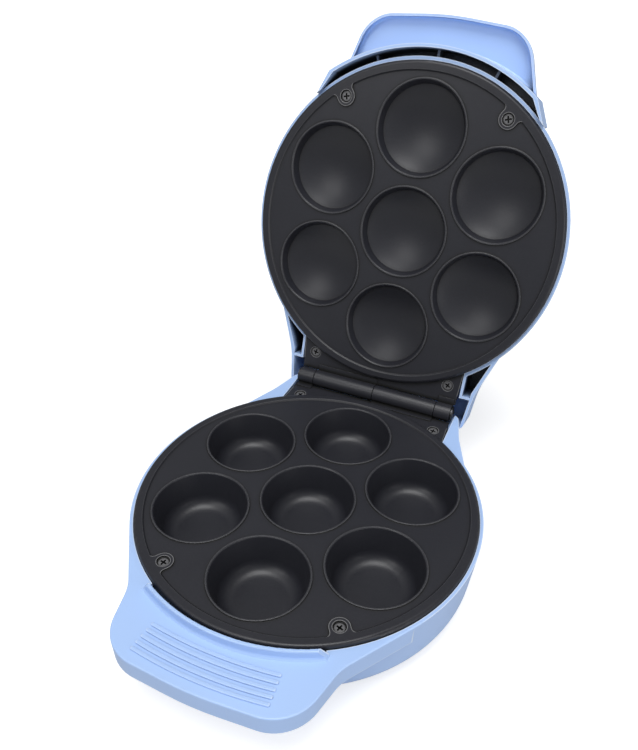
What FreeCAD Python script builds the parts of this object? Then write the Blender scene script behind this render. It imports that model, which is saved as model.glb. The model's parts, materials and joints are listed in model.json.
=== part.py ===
import FreeCAD, Part
import math
import os
import re
import Sketcher
from FreeCAD import Placement, Rotation, Vector

# Cupcake maker: a hinged countertop cooker with seven deep cups below and seven
# shallow domes above. Millimetres. +Z is up, the handle points to -Y, the hinge is
# at the back. The origin is on the table, under the middle of the lower plate.
# Everything that rides on the lid is drawn shut and then turned about the hinge.

doc = FreeCAD.newDocument("cupcake_maker")

# Driving sizes

SIZES = [
    ("foot_height", 4, "rubber foot, table to the underside of the base"),
    ("base_height", 40, "underside of the base to its top land"),
    ("plate_stand", 3, "top land to the plane where the plates meet"),
    ("plate_gap", 0.3, "gap between the two rims when shut"),
    ("open_angle", 108.4, "lid angle from shut to resting on its stop"),
    ("hinge_reach", 10.2, "edge of the plates back to the hinge axis"),
    ("housing_wall", 2, "side wall of both housings"),
    ("floor_thick", 2.4, "floor of the base and roof of the lid"),
    ("base_draft", 3.1, "lean of the base wall, edge to floor"),
    ("base_corner", 12, "rounding between base wall and floor"),
    ("skirt_room", 0.5, "end of the plate skirt to the step in the housing"),
    ("skirt_play", 0.3, "plate skirt to housing wall, radius"),
    ("lid_stand", 4, "meeting plane up to the edge of the lid"),
    ("lid_height", 41, "meeting plane up to the top of the lid"),
    ("crown_radius", 40, "middle of the lid's roof, out to its slope"),
    ("crown_bend", 150, "rounding between that middle and the slope"),
    ("lid_draft", 2.7, "lean of the lid wall, edge to shoulder"),
    ("shoulder_drop", 9.6, "top of the lid down to that shoulder"),
    ("lid_corner", 14, "rounding of the shoulder"),
    ("plate_radius", 97, "outer radius of the baking plates"),
    ("plate_thick", 3, "web of the baking plates"),
    ("rim_width", 5, "raised rim of the plates"),
    ("rim_height", 0.85, "rim above the plate's face"),
    ("rim_slope", 0.8, "width of the step inside the rim"),
    ("skirt_depth", 9, "meeting plane to the end of the plate skirt"),
    ("skirt_thick", 2.2, "wall of the plate skirt"),
    ("cup_ring", 60.4, "middle of the plate to the six outer cups"),
    ("cup_radius", 26, "mouth of a lower cup"),
    ("cup_floor_radius", 21, "where the cup wall would meet the cup floor"),
    ("cup_corner", 8, "rounding inside the cup"),
    ("cup_depth", 20, "face of the plate to the cup floor"),
    ("dome_radius", 26.4, "mouth of an upper recess"),
    ("dome_step_radius", 24.8, "foot of the steep wall in an upper recess"),
    ("dome_step", 5, "depth of that steep wall"),
    ("dome_depth", 11, "face of the plate to the middle of the dome"),
    ("cup_wall", 2.2, "casting wall round cups and domes"),
    ("bead_width", 1.5, "raised bead round each mouth"),
    ("bead_height", 0.8, "bead above the face"),
    ("bead_round", 0.4, "rounding of the bead"),
    ("rim_round", 1.8, "rounding of the plate's outer edge"),
    ("screw_inset", 9.74, "front screws inside the edge of the plate"),
    ("screw_angle", 34.4, "front screws off the front line"),
    ("screw_pad", 5.4, "radius of the pad round a front screw"),
    ("pad_flare", 2.6, "rounding where the pad runs into the rim"),
    ("rear_screw_side", 8.5, "rear screws inside the side of the flange"),
    ("rear_screw_ahead", 16.85, "rear screws ahead of the hinge axis"),
    ("boss_depth", 6, "meeting plane to the foot of the front screw boss"),
    ("flange_half", 55.4, "half width of the rear flange"),
    ("flange_taper", 1.2, "the flange is narrower at the hinge by this, a side"),
    ("flange_overlap", 3.6, "rear flange into the disc"),
    ("flange_drop", 3.5, "meeting plane to the flange"),
    ("flange_thick", 3.5, "rear flange"),
    ("knuckle_radius", 5.6, "hinge knuckles"),
    ("knuckle_gap", 0.4, "between neighbouring knuckles"),
    ("long_knuckle", 42.8, "length of the long knuckles with their gap"),
    ("short_knuckle", 10.8, "length of the short knuckles with their gap"),
    ("knuckle_room", 0.45, "flange edge to the other plate's knuckles"),
    ("pin_radius", 3, "hinge pin"),
    ("pin_play", 0.05, "running clearance round the hinge pin"),
    ("pin_stand", 1.5, "hinge pin beyond the last knuckle"),
    ("clip_radius", 4.8, "push-on clip on the hinge pin"),
    ("clip_thick", 0.8, "push-on clip"),
    ("screw_head", 3.2, "radius of a countersunk screw head"),
    ("screw_shank", 1.95, "radius of a plate screw's shank"),
    ("screw_length", 14, "plate screw, head and shank"),
    ("screw_cone", 1.3, "depth of the countersunk cone"),
    ("screw_sink", 0.6, "screw head below the surface round it"),
    ("sink_room", 0.35, "sunk hole wider than the screw head"),
    ("screw_play", 0.15, "clearance round a screw in its hole"),
    ("cross_width", 0.8, "slot width of the cross recess"),
    ("cross_length", 3.5, "length of the cross recess"),
    ("boss_radius", 4.2, "screw bosses of the housings"),
    ("element_ring", 50, "radius of the heating ring"),
    ("element_tube", 3.3, "radius of the heating tube"),
    ("element_room", 0.4, "cup bottoms to the heating tube"),
    ("element_bend", 8, "bend where the heating tube leaves its ring"),
    ("element_leg", 10, "legs of the heating tube off the middle line"),
    ("element_end", 68, "end of the legs behind the middle"),
    ("groove_play", 0.1, "groove round the heating tube"),
    ("rib_half", 4, "half width of the cast ring over the heating tube"),
    ("rib_angle", 314, "sweep of that cast ring"),
    ("clamp_reach", 10, "clamp screws inside and outside the heating ring"),
    ("clamp_boss", 3.2, "radius of the clamp screw bosses"),
    ("clamp_thick", 1.2, "clamp strap"),
    ("clamp_width", 9, "clamp strap along the tube"),
    ("small_head", 2.6, "radius of a small pan head"),
    ("small_shank", 1.3, "radius of a small screw's shank"),
    ("small_length", 6, "shank of a small screw"),
    ("small_head_height", 1.8, "height of a small pan head"),
    ("shield_radius", 80, "heat shield"),
    ("shield_thick", 0.6, "heat shield sheet"),
    ("shield_rim", 4.5, "turned-up rim of the heat shield"),
    ("shield_room", 4.1, "heating tube to the heat shield"),
    ("shield_post_ring", 71, "heat shield posts off the middle"),
    ("shield_hole", 12, "radius of the hole in the middle of the shields"),
    ("notch_side", 5, "leg of the heating tube to the side of the shield's notch"),
    ("notch_depth", 6, "notch in the shield's rim for the legs"),
    ("neck_angle", 126.2, "where the sides of both necks start, off the front line"),
    ("neck_flare", 9.4, "flange side out to the bend of both necks"),
    ("base_neck_ahead", 19.2, "bend of the base's neck ahead of the hinge axis"),
    ("base_neck_wall", 2.3, "side wall of the base's neck at the back"),
    ("base_back_reach", 3.2, "hinge axis to the back wall of the base"),
    ("base_back_top", 7, "meeting plane to the top of the back wall"),
    ("neck_corner", 5, "rounding of the neck's back corners"),
    ("neck_bend", 60, "rounding at the bend of both necks"),
    ("neck_edge", 4.4, "rounding of the lid's neck along its roof, below neck_corner"),
    ("flange_play", 0.5, "rear flange to the housing beside it"),
    ("land_thick", 2.4, "top land beside the hinge and on the handle"),
    ("lid_neck_ahead", 14, "bend of the lid's neck ahead of the hinge axis"),
    ("arm_play", 2.2, "side of the base's neck to the lid's arm"),
    ("lid_back_reach", 11.2, "hinge axis to the back wall of the lid"),
    ("stop_gap", 0.3, "lid's back edge to the base's back wall when open"),
    ("lid_neck_height", 29, "meeting plane to the roof of the neck"),
    ("arm_wall", 1.8, "side walls of the lid's neck"),
    ("cross_rib_ahead", 12.2, "cross rib in the lid's neck ahead of the hinge axis"),
    ("cross_rib_thick", 1.6, "cross rib and flange walls of the lid"),
    ("base_grip_x", 58, "concave bend of the base handle"),
    ("base_grip_back", 8.3, "that bend behind the front of the bowl"),
    ("base_grip_bend", 26, "radius of that bend"),
    ("base_tip_x", 50, "front corner of the base handle"),
    ("base_tip_out", 26.3, "front corner of the base handle beyond the bowl"),
    ("base_tip_bend", 24, "radius of that corner"),
    ("base_handle_out", 29.9, "front of the base handle beyond the bowl"),
    ("handle_front_bend", 190, "bow of both front edges"),
    ("base_handle_thick", 12, "skirt of the base handle"),
    ("handle_wall", 2.2, "walls of the base handle"),
    ("base_handle_round", 0.8, "rounding of the base handle's upper edge"),
    ("lid_handle_round", 2.2, "rounding of the lid handle's outer edge"),
    ("lid_tip_x", 48.5, "front corner of the lid handle"),
    ("lid_tip_out", 20.8, "front corner of the lid handle beyond the bowl"),
    ("lid_tip_bend", 22, "radius of that corner"),
    ("lid_handle_out", 24.5, "front of the lid handle beyond the bowl"),
    ("lid_handle_stand", 19, "meeting plane to the lid handle"),
    ("lid_handle_thick", 6.5, "lid handle with its rim"),
    ("lid_handle_wall", 1.4, "wall round the tray of the lid handle"),
    ("lid_tray_depth", 4.4, "tray under the lid handle"),
    ("lid_tray_round", 1.5, "rounding inside the tray"),
    ("lip_edge", 0.5, "land between the front gap and the lip"),
    ("lip_thick", 2, "base's curved lip"),
    ("lip_height", 5.8, "lip above the top land"),
    ("lip_angle", 60, "sweep of the lip"),
    ("lip_run_out", 4, "length of the slope at the ends of the lip"),
    ("front_room", 1.8, "gap between plate and base at the front"),
    ("slot_width", 4.3, "lid's curved slot"),
    ("slot_angle", 35.5, "half sweep of the slot's outer side"),
    ("slot_end_angle", 42, "half sweep where the slot meets the wall"),
    ("slot_wall", 1.9, "wall outside the slot"),
    ("slot_stand", 1, "meeting plane to the edge of that wall"),
    ("slot_rib_stand", 11, "meeting plane to the ribs in the slot"),
    ("slot_rib_angle", 21, "between the ribs in the slot"),
    ("slot_rib_thick", 1.5, "ribs in the slot"),
    ("ridge_count", 5, "ridges on the base handle"),
    ("ridge_out", 8.2, "nearest ridge beyond the bowl"),
    ("ridge_pitch", 3.75, "one ridge to the next"),
    ("ridge_bend", 235, "radius along which the ridges curve"),
    ("ridge_half", 34.6, "half length of the nearest ridge"),
    ("ridge_growth", 0.4, "each ridge is longer than the last by this, a side"),
    ("ridge_width", 1.9, "width of a ridge"),
    ("ridge_height", 0.9, "height of a ridge"),
    ("handle_rib_x", 18, "ribs under the base handle off the middle line"),
    ("handle_rib_thick", 1.6, "ribs under the base handle"),
    ("handle_hollow_angle", 28, "half sweep of the hollow's back wall"),
    ("lid_tray_angle", 32.9, "half sweep of the lid tray's back wall"),
    ("foot_radius", 7.5, "rubber foot"),
    ("foot_stem", 3, "stem of the rubber foot"),
    ("front_foot_x", 52, "front feet off the middle line"),
    ("front_foot_y", 54, "front feet in front of the middle"),
    ("rear_foot_x", 33, "rear feet off the middle line"),
    ("rear_foot_ahead", 13.2, "rear feet ahead of the hinge axis"),
    ("inlet_radius", 4, "cord inlet in the back wall"),
    ("inlet_x", 30, "cord inlet off the middle line"),
    ("inlet_z", 17, "cord inlet above the table"),
    ("lamp_x", 9, "lamps off the middle line"),
    ("lamp_y", 72, "lamps in front of the middle"),
    ("lamp_radius", 3.4, "lamp lenses"),
    ("lamp_play", 0.1, "lamp lens in its hole"),
    ("lens_dome", 0.8, "lamp lens above the roof"),
    ("lens_flange", 1.1, "flange of the lens under the roof"),
    ("lamp_length", 5, "neon lamp"),
    ("strip_thick", 1, "thermostat bracket"),
    ("pin_lead", 7, "connector pins of the heating tube"),
    ("lead_clamp_ahead", 7.2, "lead clamp ahead of the hinge axis"),
    ("lead_clamp_x", 14.5, "screws of the lead clamp off the middle line"),
    ("lead_clamp_thick", 2.4, "lead clamp"),
    ("fuse_start", 40, "thermal fuse behind the middle"),
    ("fuse_length", 12, "thermal fuse"),
    ("fuse_radius", 2.1, "thermal fuse"),
    ("blade_x", 4, "thermostat terminals off the middle line"),
    ("blade_length", 5.8, "thermostat terminals"),
    ("lead_radius", 1.2, "inner leads"),
    ("thermostat_radius", 8, "thermostat"),
    ("thermostat_cap", 3.4, "metal cap of the thermostat"),
    ("thermostat_body", 6, "ceramic body of the thermostat"),
    ("bracket_half", 5, "half width of the thermostat bracket"),
    ("pillar_ring", 34.9, "thermostat pillar off the middle"),
    ("block_length", 30, "terminal block"),
    ("block_width", 16, "terminal block"),
    ("block_height", 13, "terminal block"),
    ("block_well", 2.6, "radius of the screw wells in the terminal block"),
    ("block_ahead", 13.2, "terminal block ahead of the hinge axis"),
]
NAMES = {name for name, size, note in SIZES}

sheet = doc.addObject("Spreadsheet::Sheet", "Sizes")
for row, (name, size, note) in enumerate(SIZES, 1):
    sheet.set(f"A{row}", note)
    sheet.set(f"B{row}", str(size))
    sheet.setAlias(f"B{row}", name)
doc.recompute()

# Levels and places worked out from the driving sizes

PLACES = {
    # levels
    "land": "foot_height + base_height",
    "meet": "land + plate_stand",
    "floor_top": "foot_height + floor_thick",
    "base_seat": "meet - skirt_depth - skirt_room",
    "lid_seat": "meet + skirt_depth + skirt_room",
    "lid_edge": "meet + lid_stand",
    "lid_top": "meet + lid_height",
    "neck_roof": "meet + lid_neck_height",
    "handle_low": "meet + lid_handle_stand",
    "handle_top": "handle_low + lid_handle_thick",
    "back_top": "meet - base_back_top",
    "trough_top": "back_top - 0.6",
    "base_shield": "meet - lower_shield_depth",
    "lid_shield": "meet + upper_shield_depth",
    "lead_clamp_level": "meet + upper_element_depth - lead_radius - 0.1",
    "lamp_roof": "lid_top - roof_slope * (hypot(lamp_x; lamp_y) - crown_radius)",
    "blade_level": "meet - thermostat_end - blade_length + lead_radius + 0.1",
    # depths below or above the plane where the plates meet
    "rim": "plate_gap / 2",
    "face": "rim + rim_height",
    "web": "face + plate_thick",
    "flange_under": "flange_drop + flange_thick",
    "lower_cup_under": "face + cup_depth + cup_wall",
    "upper_cup_under": "face + dome_depth + cup_wall",
    "lower_element_depth": "lower_cup_under + element_room + element_tube",
    "upper_element_depth": "upper_cup_under + element_room + element_tube",
    "lower_shield_depth": "lower_element_depth + element_tube + shield_room",
    "upper_shield_depth": "upper_element_depth + element_tube + shield_room",
    "strip_depth": "lower_cup_under + thermostat_cap",
    "thermostat_end": "strip_depth + thermostat_body",
    # the round of the casings
    "mouth_radius": "plate_radius + skirt_play",
    "housing_radius": "mouth_radius + housing_wall",
    "base_floor_radius": "housing_radius - base_draft",
    "shoulder_radius": "housing_radius - lid_draft",
    "roof_slope": "shoulder_drop / (shoulder_radius - crown_radius)",
    "lip_inner": "mouth_radius + front_room + lip_edge",
    "slot_outer": "housing_radius + slot_width",
    "handle_back": "lip_inner + lip_thick + 1",
    # the hinge and what lines up with it
    "hinge_y": "plate_radius + hinge_reach",
    "pin_half": "long_knuckle + short_knuckle + pin_stand",
    "flange_edge": "hinge_y - sqrt((knuckle_radius + knuckle_room)^2 - flange_drop^2)",
    "flange_end_half": "flange_half - flange_taper",
    "flange_start": "sqrt(plate_radius * plate_radius - flange_half * flange_half) - flange_overlap",
    "neck_x": "flange_half + neck_flare",
    "neck_start_x": "shoulder_radius * sin(neck_angle)",
    "neck_start_y": "-shoulder_radius * cos(neck_angle)",
    "base_neck_y": "hinge_y - base_neck_ahead",
    "base_neck_end_x": "flange_half + flange_play + base_neck_wall",
    "base_back_y": "hinge_y + base_back_reach",
    "lid_neck_y": "hinge_y - lid_neck_ahead",
    "lid_neck_end_x": "base_neck_end_x + arm_play + arm_wall",
    "lid_back_y": "hinge_y + lid_back_reach",
    "lid_back_stand": "(base_back_reach + stop_gap - lid_back_reach * cos(open_angle)) / sin(open_angle)",
    "cross_rib_y": "hinge_y - cross_rib_ahead",
    "lead_clamp_y": "hinge_y - lead_clamp_ahead",
    # screws, feet, handles
    "pilot": "screw_shank + screw_play / 3",
    "small_pilot": "small_shank + screw_play / 3",
    "small_clear": "small_shank + screw_play",
    "screw_ring": "plate_radius - screw_inset",
    "screw_x": "screw_ring * sin(screw_angle)",
    "screw_y": "screw_ring * cos(screw_angle)",
    "rear_screw_x": "flange_half - rear_screw_side",
    "rear_screw_y": "hinge_y - rear_screw_ahead",
    "rear_foot_y": "hinge_y - rear_foot_ahead",
    "base_grip_y": "housing_radius - base_grip_back",
    "base_tip_y": "housing_radius + base_tip_out",
    "base_reach": "housing_radius + base_handle_out",
    "lid_tip_y": "housing_radius + lid_tip_out",
    "lid_reach": "housing_radius + lid_handle_out",
    "ridge_first": "housing_radius + ridge_out",
    "block_y": "hinge_y - block_ahead",
    "block_front": "block_y - block_width / 2",
    "wire_level": "floor_top + block_height * 0.55",
}


def link(text):
    """An expression with its places worked out and its sizes looked up."""
    def look_up(found):
        word = found[0]
        if word in PLACES:
            return f"({link(PLACES[word])})"
        return "Sizes." + word if word in NAMES else word
    return re.sub(r"[a-z_]+", look_up, text)


def number(text):
    """The present value of an expression."""
    found = sheet.evalExpression(link(text))
    return float(getattr(found, "Value", found))


# Sketches

def new_body(label):
    body = doc.addObject("PartDesign::Body", label)
    body.Label = label
    return body


def origin(body, role):
    return next(item for item in body.Origin.OriginFeatures if item.Role == role)


def sketch(body, name, plane="XY", lift="0", turn=None, swing=None):
    """An empty sketch; turn is about its normal, swing about its own upright."""
    drawing = body.newObject("Sketcher::SketchObject", name)
    drawing.AttachmentSupport = [(origin(body, plane + "_Plane"), "")]
    drawing.MapMode = "FlatFace"
    axis = Vector(0, 1, 0) if swing else Vector(0, 0, 1)
    angle = swing or turn
    start = Rotation(axis, number(angle)) if angle else Rotation()
    drawing.AttachmentOffset = Placement(Vector(0, 0, number(lift)), start)
    drawing.setExpression("AttachmentOffset.Base.z", link(lift))
    if angle:
        drawing.setExpression("AttachmentOffset.Rotation.Angle", link(angle))
    return drawing


def bind(drawing, rules):
    """Adds constraints; a rule that ends in text is driven by that expression."""
    made = []
    for rule in rules:
        if isinstance(rule[-1], str):
            made.append(Sketcher.Constraint(*rule[:-1], number(rule[-1])))
        else:
            made.append(Sketcher.Constraint(*rule))
    places = drawing.addConstraint(made)
    for place, rule in zip(places, rules):
        if isinstance(rule[-1], str):
            drawing.setExpression(f"Constraints[{place}]", link(rule[-1]))


def at(geometry, point, x, y):
    """Rules that hold one point at x, y."""
    return [("DistanceX", -1, 1, geometry, point, x), ("DistanceY", -1, 1, geometry, point, y)]


def circle(drawing, x, y, radius):
    shape = Part.Circle(Vector(number(x), number(y), 0), Vector(0, 0, 1), number(radius))
    place = drawing.addGeometry(shape, False)
    bind(drawing, at(place, 3, x, y) + [("Radius", place, radius)])


def upright(drawing, x):
    """A construction line at x, for turning a profile about it."""
    line = Part.LineSegment(Vector(number(x), 0, 0), Vector(number(x), 1, 0))
    place = drawing.addGeometry(line, True)
    bind(drawing, at(place, 1, x, "0") + at(place, 2, x, "1"))


def corner_cut(before, point, after, radius):
    """Where a rounding of this radius leaves its two lines, and its centre."""
    back = (before - point).normalize()
    ahead = (after - point).normalize()
    half = back.getAngle(ahead) / 2
    reach = radius / math.tan(half)
    middle = (back + ahead).normalize()
    return point + back * reach, point + ahead * reach, point + middle * (radius / math.sin(half))


def outline(drawing, corners):
    """A closed outline of straight sides.

    Each corner is (x, y) or (x, y, radius), as expressions. A fourth entry makes
    the side that follows an arc whose middle is on the upright axis: "round" has it
    at the origin, "dome" ends at its crown, and an expression gives its height.
    """
    points = [Vector(number(corner[0]), number(corner[1]), 0) for corner in corners]
    count = len(corners)
    radii = [corner[2] if len(corner) > 2 else None for corner in corners]
    bends = [corner[3] if len(corner) > 3 else None for corner in corners]
    ends = []
    for k in range(count):
        if radii[k]:
            cut = corner_cut(points[k - 1], points[k], points[(k + 1) % count], number(radii[k]))
            ends.append(cut)
        else:
            ends.append((points[k], points[k], None))
    sides = []
    for k in range(count):
        start, stop = ends[k][1], ends[(k + 1) % count][0]
        if bends[k]:
            sides.append(drawing.addGeometry(bent_side(start, stop, bends[k]), False))
        else:
            sides.append(drawing.addGeometry(Part.LineSegment(start, stop), False))
    first = [1] * count
    last = [2] * count
    for k in range(count):
        if bends[k]:
            begins = drawing.getPoint(sides[k], 1).distanceToPoint(ends[k][1]) < 1e-4
            first[k], last[k] = (1, 2) if begins else (2, 1)
    rules = []
    for k in range(count):
        x, y = corners[k][0], corners[k][1]
        came, goes = sides[k - 1], sides[k]
        if radii[k]:
            rules += rounded_corner(drawing, ends[k], points[k], came, goes, x, y, radii[k])
        else:
            rules.append(("Coincident", came, last[k - 1], goes, first[k]))
            rules.append(("DistanceX", -1, 1, goes, first[k], x))
            if bends[k - 1] in (None, "dome"):
                rules.append(("DistanceY", -1, 1, goes, first[k], y))
        if bends[k] == "round":
            rules.append(("Coincident", goes, 3, -1, 1))
        elif bends[k] == "dome":
            rules.append(("PointOnObject", goes, 3, -2))
        elif bends[k]:
            rules += at(goes, 3, "0", bends[k])
    bind(drawing, rules)


def bent_side(start, stop, bend):
    """An arc from start to stop whose middle is on the upright axis."""
    if bend == "round":
        centre = Vector(0, 0, 0)
    elif bend == "dome":
        rise = stop.y - start.y
        radius = (start.x ** 2 + rise ** 2) / (2 * rise)
        centre = Vector(0, stop.y - radius, 0)
    else:
        centre = Vector(0, number(bend), 0)
    radius = (start - centre).Length
    low = math.atan2(start.y - centre.y, start.x - centre.x)
    high = math.atan2(stop.y - centre.y, stop.x - centre.x)
    if (high - low) % (2 * math.pi) > math.pi:
        low, high = high, low
    return Part.ArcOfCircle(Part.Circle(centre, Vector(0, 0, 1), radius), low, high)


def rounded_corner(drawing, cut, point, came, goes, x, y, radius):
    start, stop, centre = cut
    left = (start - centre).cross(stop - centre).z > 0
    low, high = (start, stop) if left else (stop, start)
    low_angle = math.atan2(low.y - centre.y, low.x - centre.x)
    high_angle = math.atan2(high.y - centre.y, high.x - centre.x)
    ring = Part.Circle(centre, Vector(0, 0, 1), number(radius))
    arc = drawing.addGeometry(Part.ArcOfCircle(ring, low_angle, high_angle), False)
    mark = drawing.addGeometry(Part.Point(point), True)
    came_end, goes_end = (1, 2) if left else (2, 1)
    rules = [("Tangent", came, 2, arc, came_end), ("Tangent", goes, 1, arc, goes_end)]
    rules += [("PointOnObject", mark, 1, came), ("PointOnObject", mark, 1, goes)]
    rules += at(mark, 1, x, y) + [("Radius", arc, radius)]
    return rules


# Features

def feature(body, kind, name, drawing, **settings):
    made = body.newObject("PartDesign::" + kind, name)
    made.Profile = drawing
    for key, setting in settings.items():
        if isinstance(setting, str) and key in ("Length", "Angle", "TaperAngle"):
            setattr(made, key, number(setting))
            made.setExpression(key, link(setting))
        else:
            setattr(made, key, setting)
    drawing.Visibility = False
    return made


def prism(body, name, corners, low, high, cut=False, plane="XY", turn=None):
    """An outline raised from low to high along the plane's normal."""
    drawing = sketch(body, name + "_outline", plane, low, turn)
    outline(drawing, corners)
    kind = "Pocket" if cut else "Pad"
    return feature(body, kind, name, drawing, Length=f"({high}) - ({low})", Reversed=cut)


def disc(body, name, x, y, radius, low, high, cut=False, plane="XY"):
    drawing = sketch(body, name + "_circle", plane, low)
    circle(drawing, x, y, radius)
    kind = "Pocket" if cut else "Pad"
    return feature(body, kind, name, drawing, Length=f"({high}) - ({low})", Reversed=cut)


def post(body, name, x, y, radius, level, down):
    """A round post from a level to the first wall it meets."""
    drawing = sketch(body, name + "_circle", "XY", level)
    circle(drawing, x, y, radius)
    return feature(body, "Pad", name, drawing, Type="UpToFirst", Reversed=down)


def turned(body, name, corners, cut=False, angle="360", x=None, y="0", front=False):
    """An outline turned about the middle, or about an upright line at x, y.

    With front it is drawn towards -Y and swept to both sides of that line.
    """
    plane = "YZ" if front else "XZ"
    drawing = sketch(body, name + "_profile", plane, "0" if front else f"-({y})")
    if x is not None:
        upright(drawing, x)
    outline(drawing, corners)
    axis = "V_Axis" if x is None else "Axis0"
    kind = "Groove" if cut else "Revolution"
    made = feature(body, kind, name, drawing, ReferenceAxis=(drawing, [axis]), Angle=angle)
    made.Midplane = front
    return made


def around(body, name, features, count, angle="360"):
    """The features repeated about the upright axis."""
    made = body.newObject("PartDesign::PolarPattern", name)
    made.Originals = features
    made.Axis = (origin(body, "Z_Axis"), [""])
    made.Angle = number(angle)
    made.setExpression("Angle", link(angle))
    made.Occurrences = count
    body.Tip = made
    return made


def both_sides(body, name, features):
    """The features repeated across the middle plane."""
    made = body.newObject("PartDesign::Mirrored", name)
    made.Originals = features
    made.MirrorPlane = (origin(body, "YZ_Plane"), [""])
    body.Tip = made
    return made


def softened(body, name, radius, wanted):
    """Rounds the edges of the body's newest feature that wanted() picks."""
    doc.recompute()
    base = body.Tip
    picked = [f"Edge{k}" for k, edge in enumerate(base.Shape.Edges, 1) if wanted(edge)]
    made = body.newObject("PartDesign::Fillet", name)
    made.Base = (base, picked)
    made.Radius = number(radius)
    made.setExpression("Radius", link(radius))
    return made


def swing_open(body):
    """Turns a lid piece from shut to its stop."""
    turn = "rotation(vector(1; 0; 0); -open_angle)"
    body.setExpression("Placement", link(f"placement(vector(0; 0; 0); {turn}; vector(0; hinge_y; meet))"))


def mirrored_outline(half):
    """Corners of the right half, front to back, completed with the left half."""
    left = [(f"-({corner[0]})",) + tuple(corner[1:]) for corner in reversed(half)]
    return half + left


# Baking plates

def from_meeting(side, depth):
    """The height of a depth measured from the meeting plane, below or above it."""
    return f"meet - ({depth})" if side == "lower" else f"meet + ({depth})"


def span(side, shallow, deep):
    """The lower and the upper end of a stretch between two depths."""
    ends = (from_meeting(side, deep), from_meeting(side, shallow))
    return ends if side == "lower" else (ends[1], ends[0])


def cup_outside(side):
    """Profile of one cup casting with its bead, from its axis outwards."""
    bead = "(face - bead_height)"
    if side == "lower":
        mouth = "cup_radius"
        under = "(face + cup_depth + cup_wall)"
        low = [("cup_floor_radius + cup_wall", under, "cup_corner + cup_wall"), ("0", under)]
        wall = [(f"{mouth} + cup_wall", "web")]
    else:
        mouth = "dome_radius"
        under = "(face + dome_depth + cup_wall)"
        low = [("dome_step_radius + cup_wall", "face + dome_step + cup_wall", None, "dome"), ("0", under)]
        wall = [(f"{mouth} + cup_wall", "web")]
    top = [("0", bead), (f"{mouth} + bead_width - 0.2", bead, "bead_round")]
    top.append((f"{mouth} + bead_width", "face"))
    return top + wall + low


def cup_inside(side):
    """Profile of the hollow of one cup, from its axis outwards."""
    above = "-1"
    if side == "lower":
        mouth = "cup_radius"
        floor = "face + cup_depth"
        low = [("cup_floor_radius", floor, "cup_corner"), ("0", floor)]
    else:
        mouth = "dome_radius"
        low = [("dome_step_radius", "face + dome_step", None, "dome"), ("0", "face + dome_depth")]
    bead = "(face - bead_height)"
    top = [("0", above), (f"{mouth} + 0.5", above), (f"{mouth} + 0.5", bead), (mouth, f"{bead} + 0.5")]
    return top + low


def lowered(side, corners, x="0"):
    """A profile of (radius, depth) corners set at x and at its real height."""
    moved = []
    for corner in corners:
        radius = f"{x} + {corner[0]}" if x != "0" else corner[0]
        moved.append((radius, from_meeting(side, corner[1])) + tuple(corner[2:]))
    return moved


def seven(body, side, name, profile, cut):
    """One form in the middle and six round it."""
    turned(body, name + "_middle", lowered(side, profile), cut)
    drawing_y = "-cup_ring"
    outer = turned(body, name + "_outer", lowered(side, profile), cut, x="0", y=drawing_y)
    around(body, name + "_ring", [outer], 6)


def plate_screw_holes(body, side):
    """Sunk holes for the two front screws and the two on the flange."""
    front = sink_profile("rim", "boss_depth + 1", "screw_sink + 0.4")
    rear = sink_profile("flange_drop", "flange_under + 1", "screw_sink")
    for name, x, y, profile in (
        ("front_screw_hole", "screw_x", "-screw_y", front),
        ("rear_screw_hole", "rear_screw_x", "rear_screw_y", rear),
    ):
        hole = turned(body, name, lowered(side, profile, x), True, x=x, y=y)
        both_sides(body, name + "s", [hole])


def sink_profile(surface, end, sink):
    """Hole of a countersunk screw whose head lies sink below the surface."""
    wide = "screw_head + sink_room"
    seat = f"({surface} + {sink})"
    cone_end = f"({seat} + screw_cone + screw_play)"
    return [
        ("0", f"{surface} - 1"), (wide, f"{surface} - 1"), (wide, seat),
        ("screw_head + screw_play", seat), ("screw_shank + screw_play", cone_end),
        ("screw_shank + screw_play", end), ("0", end),
    ]


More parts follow.
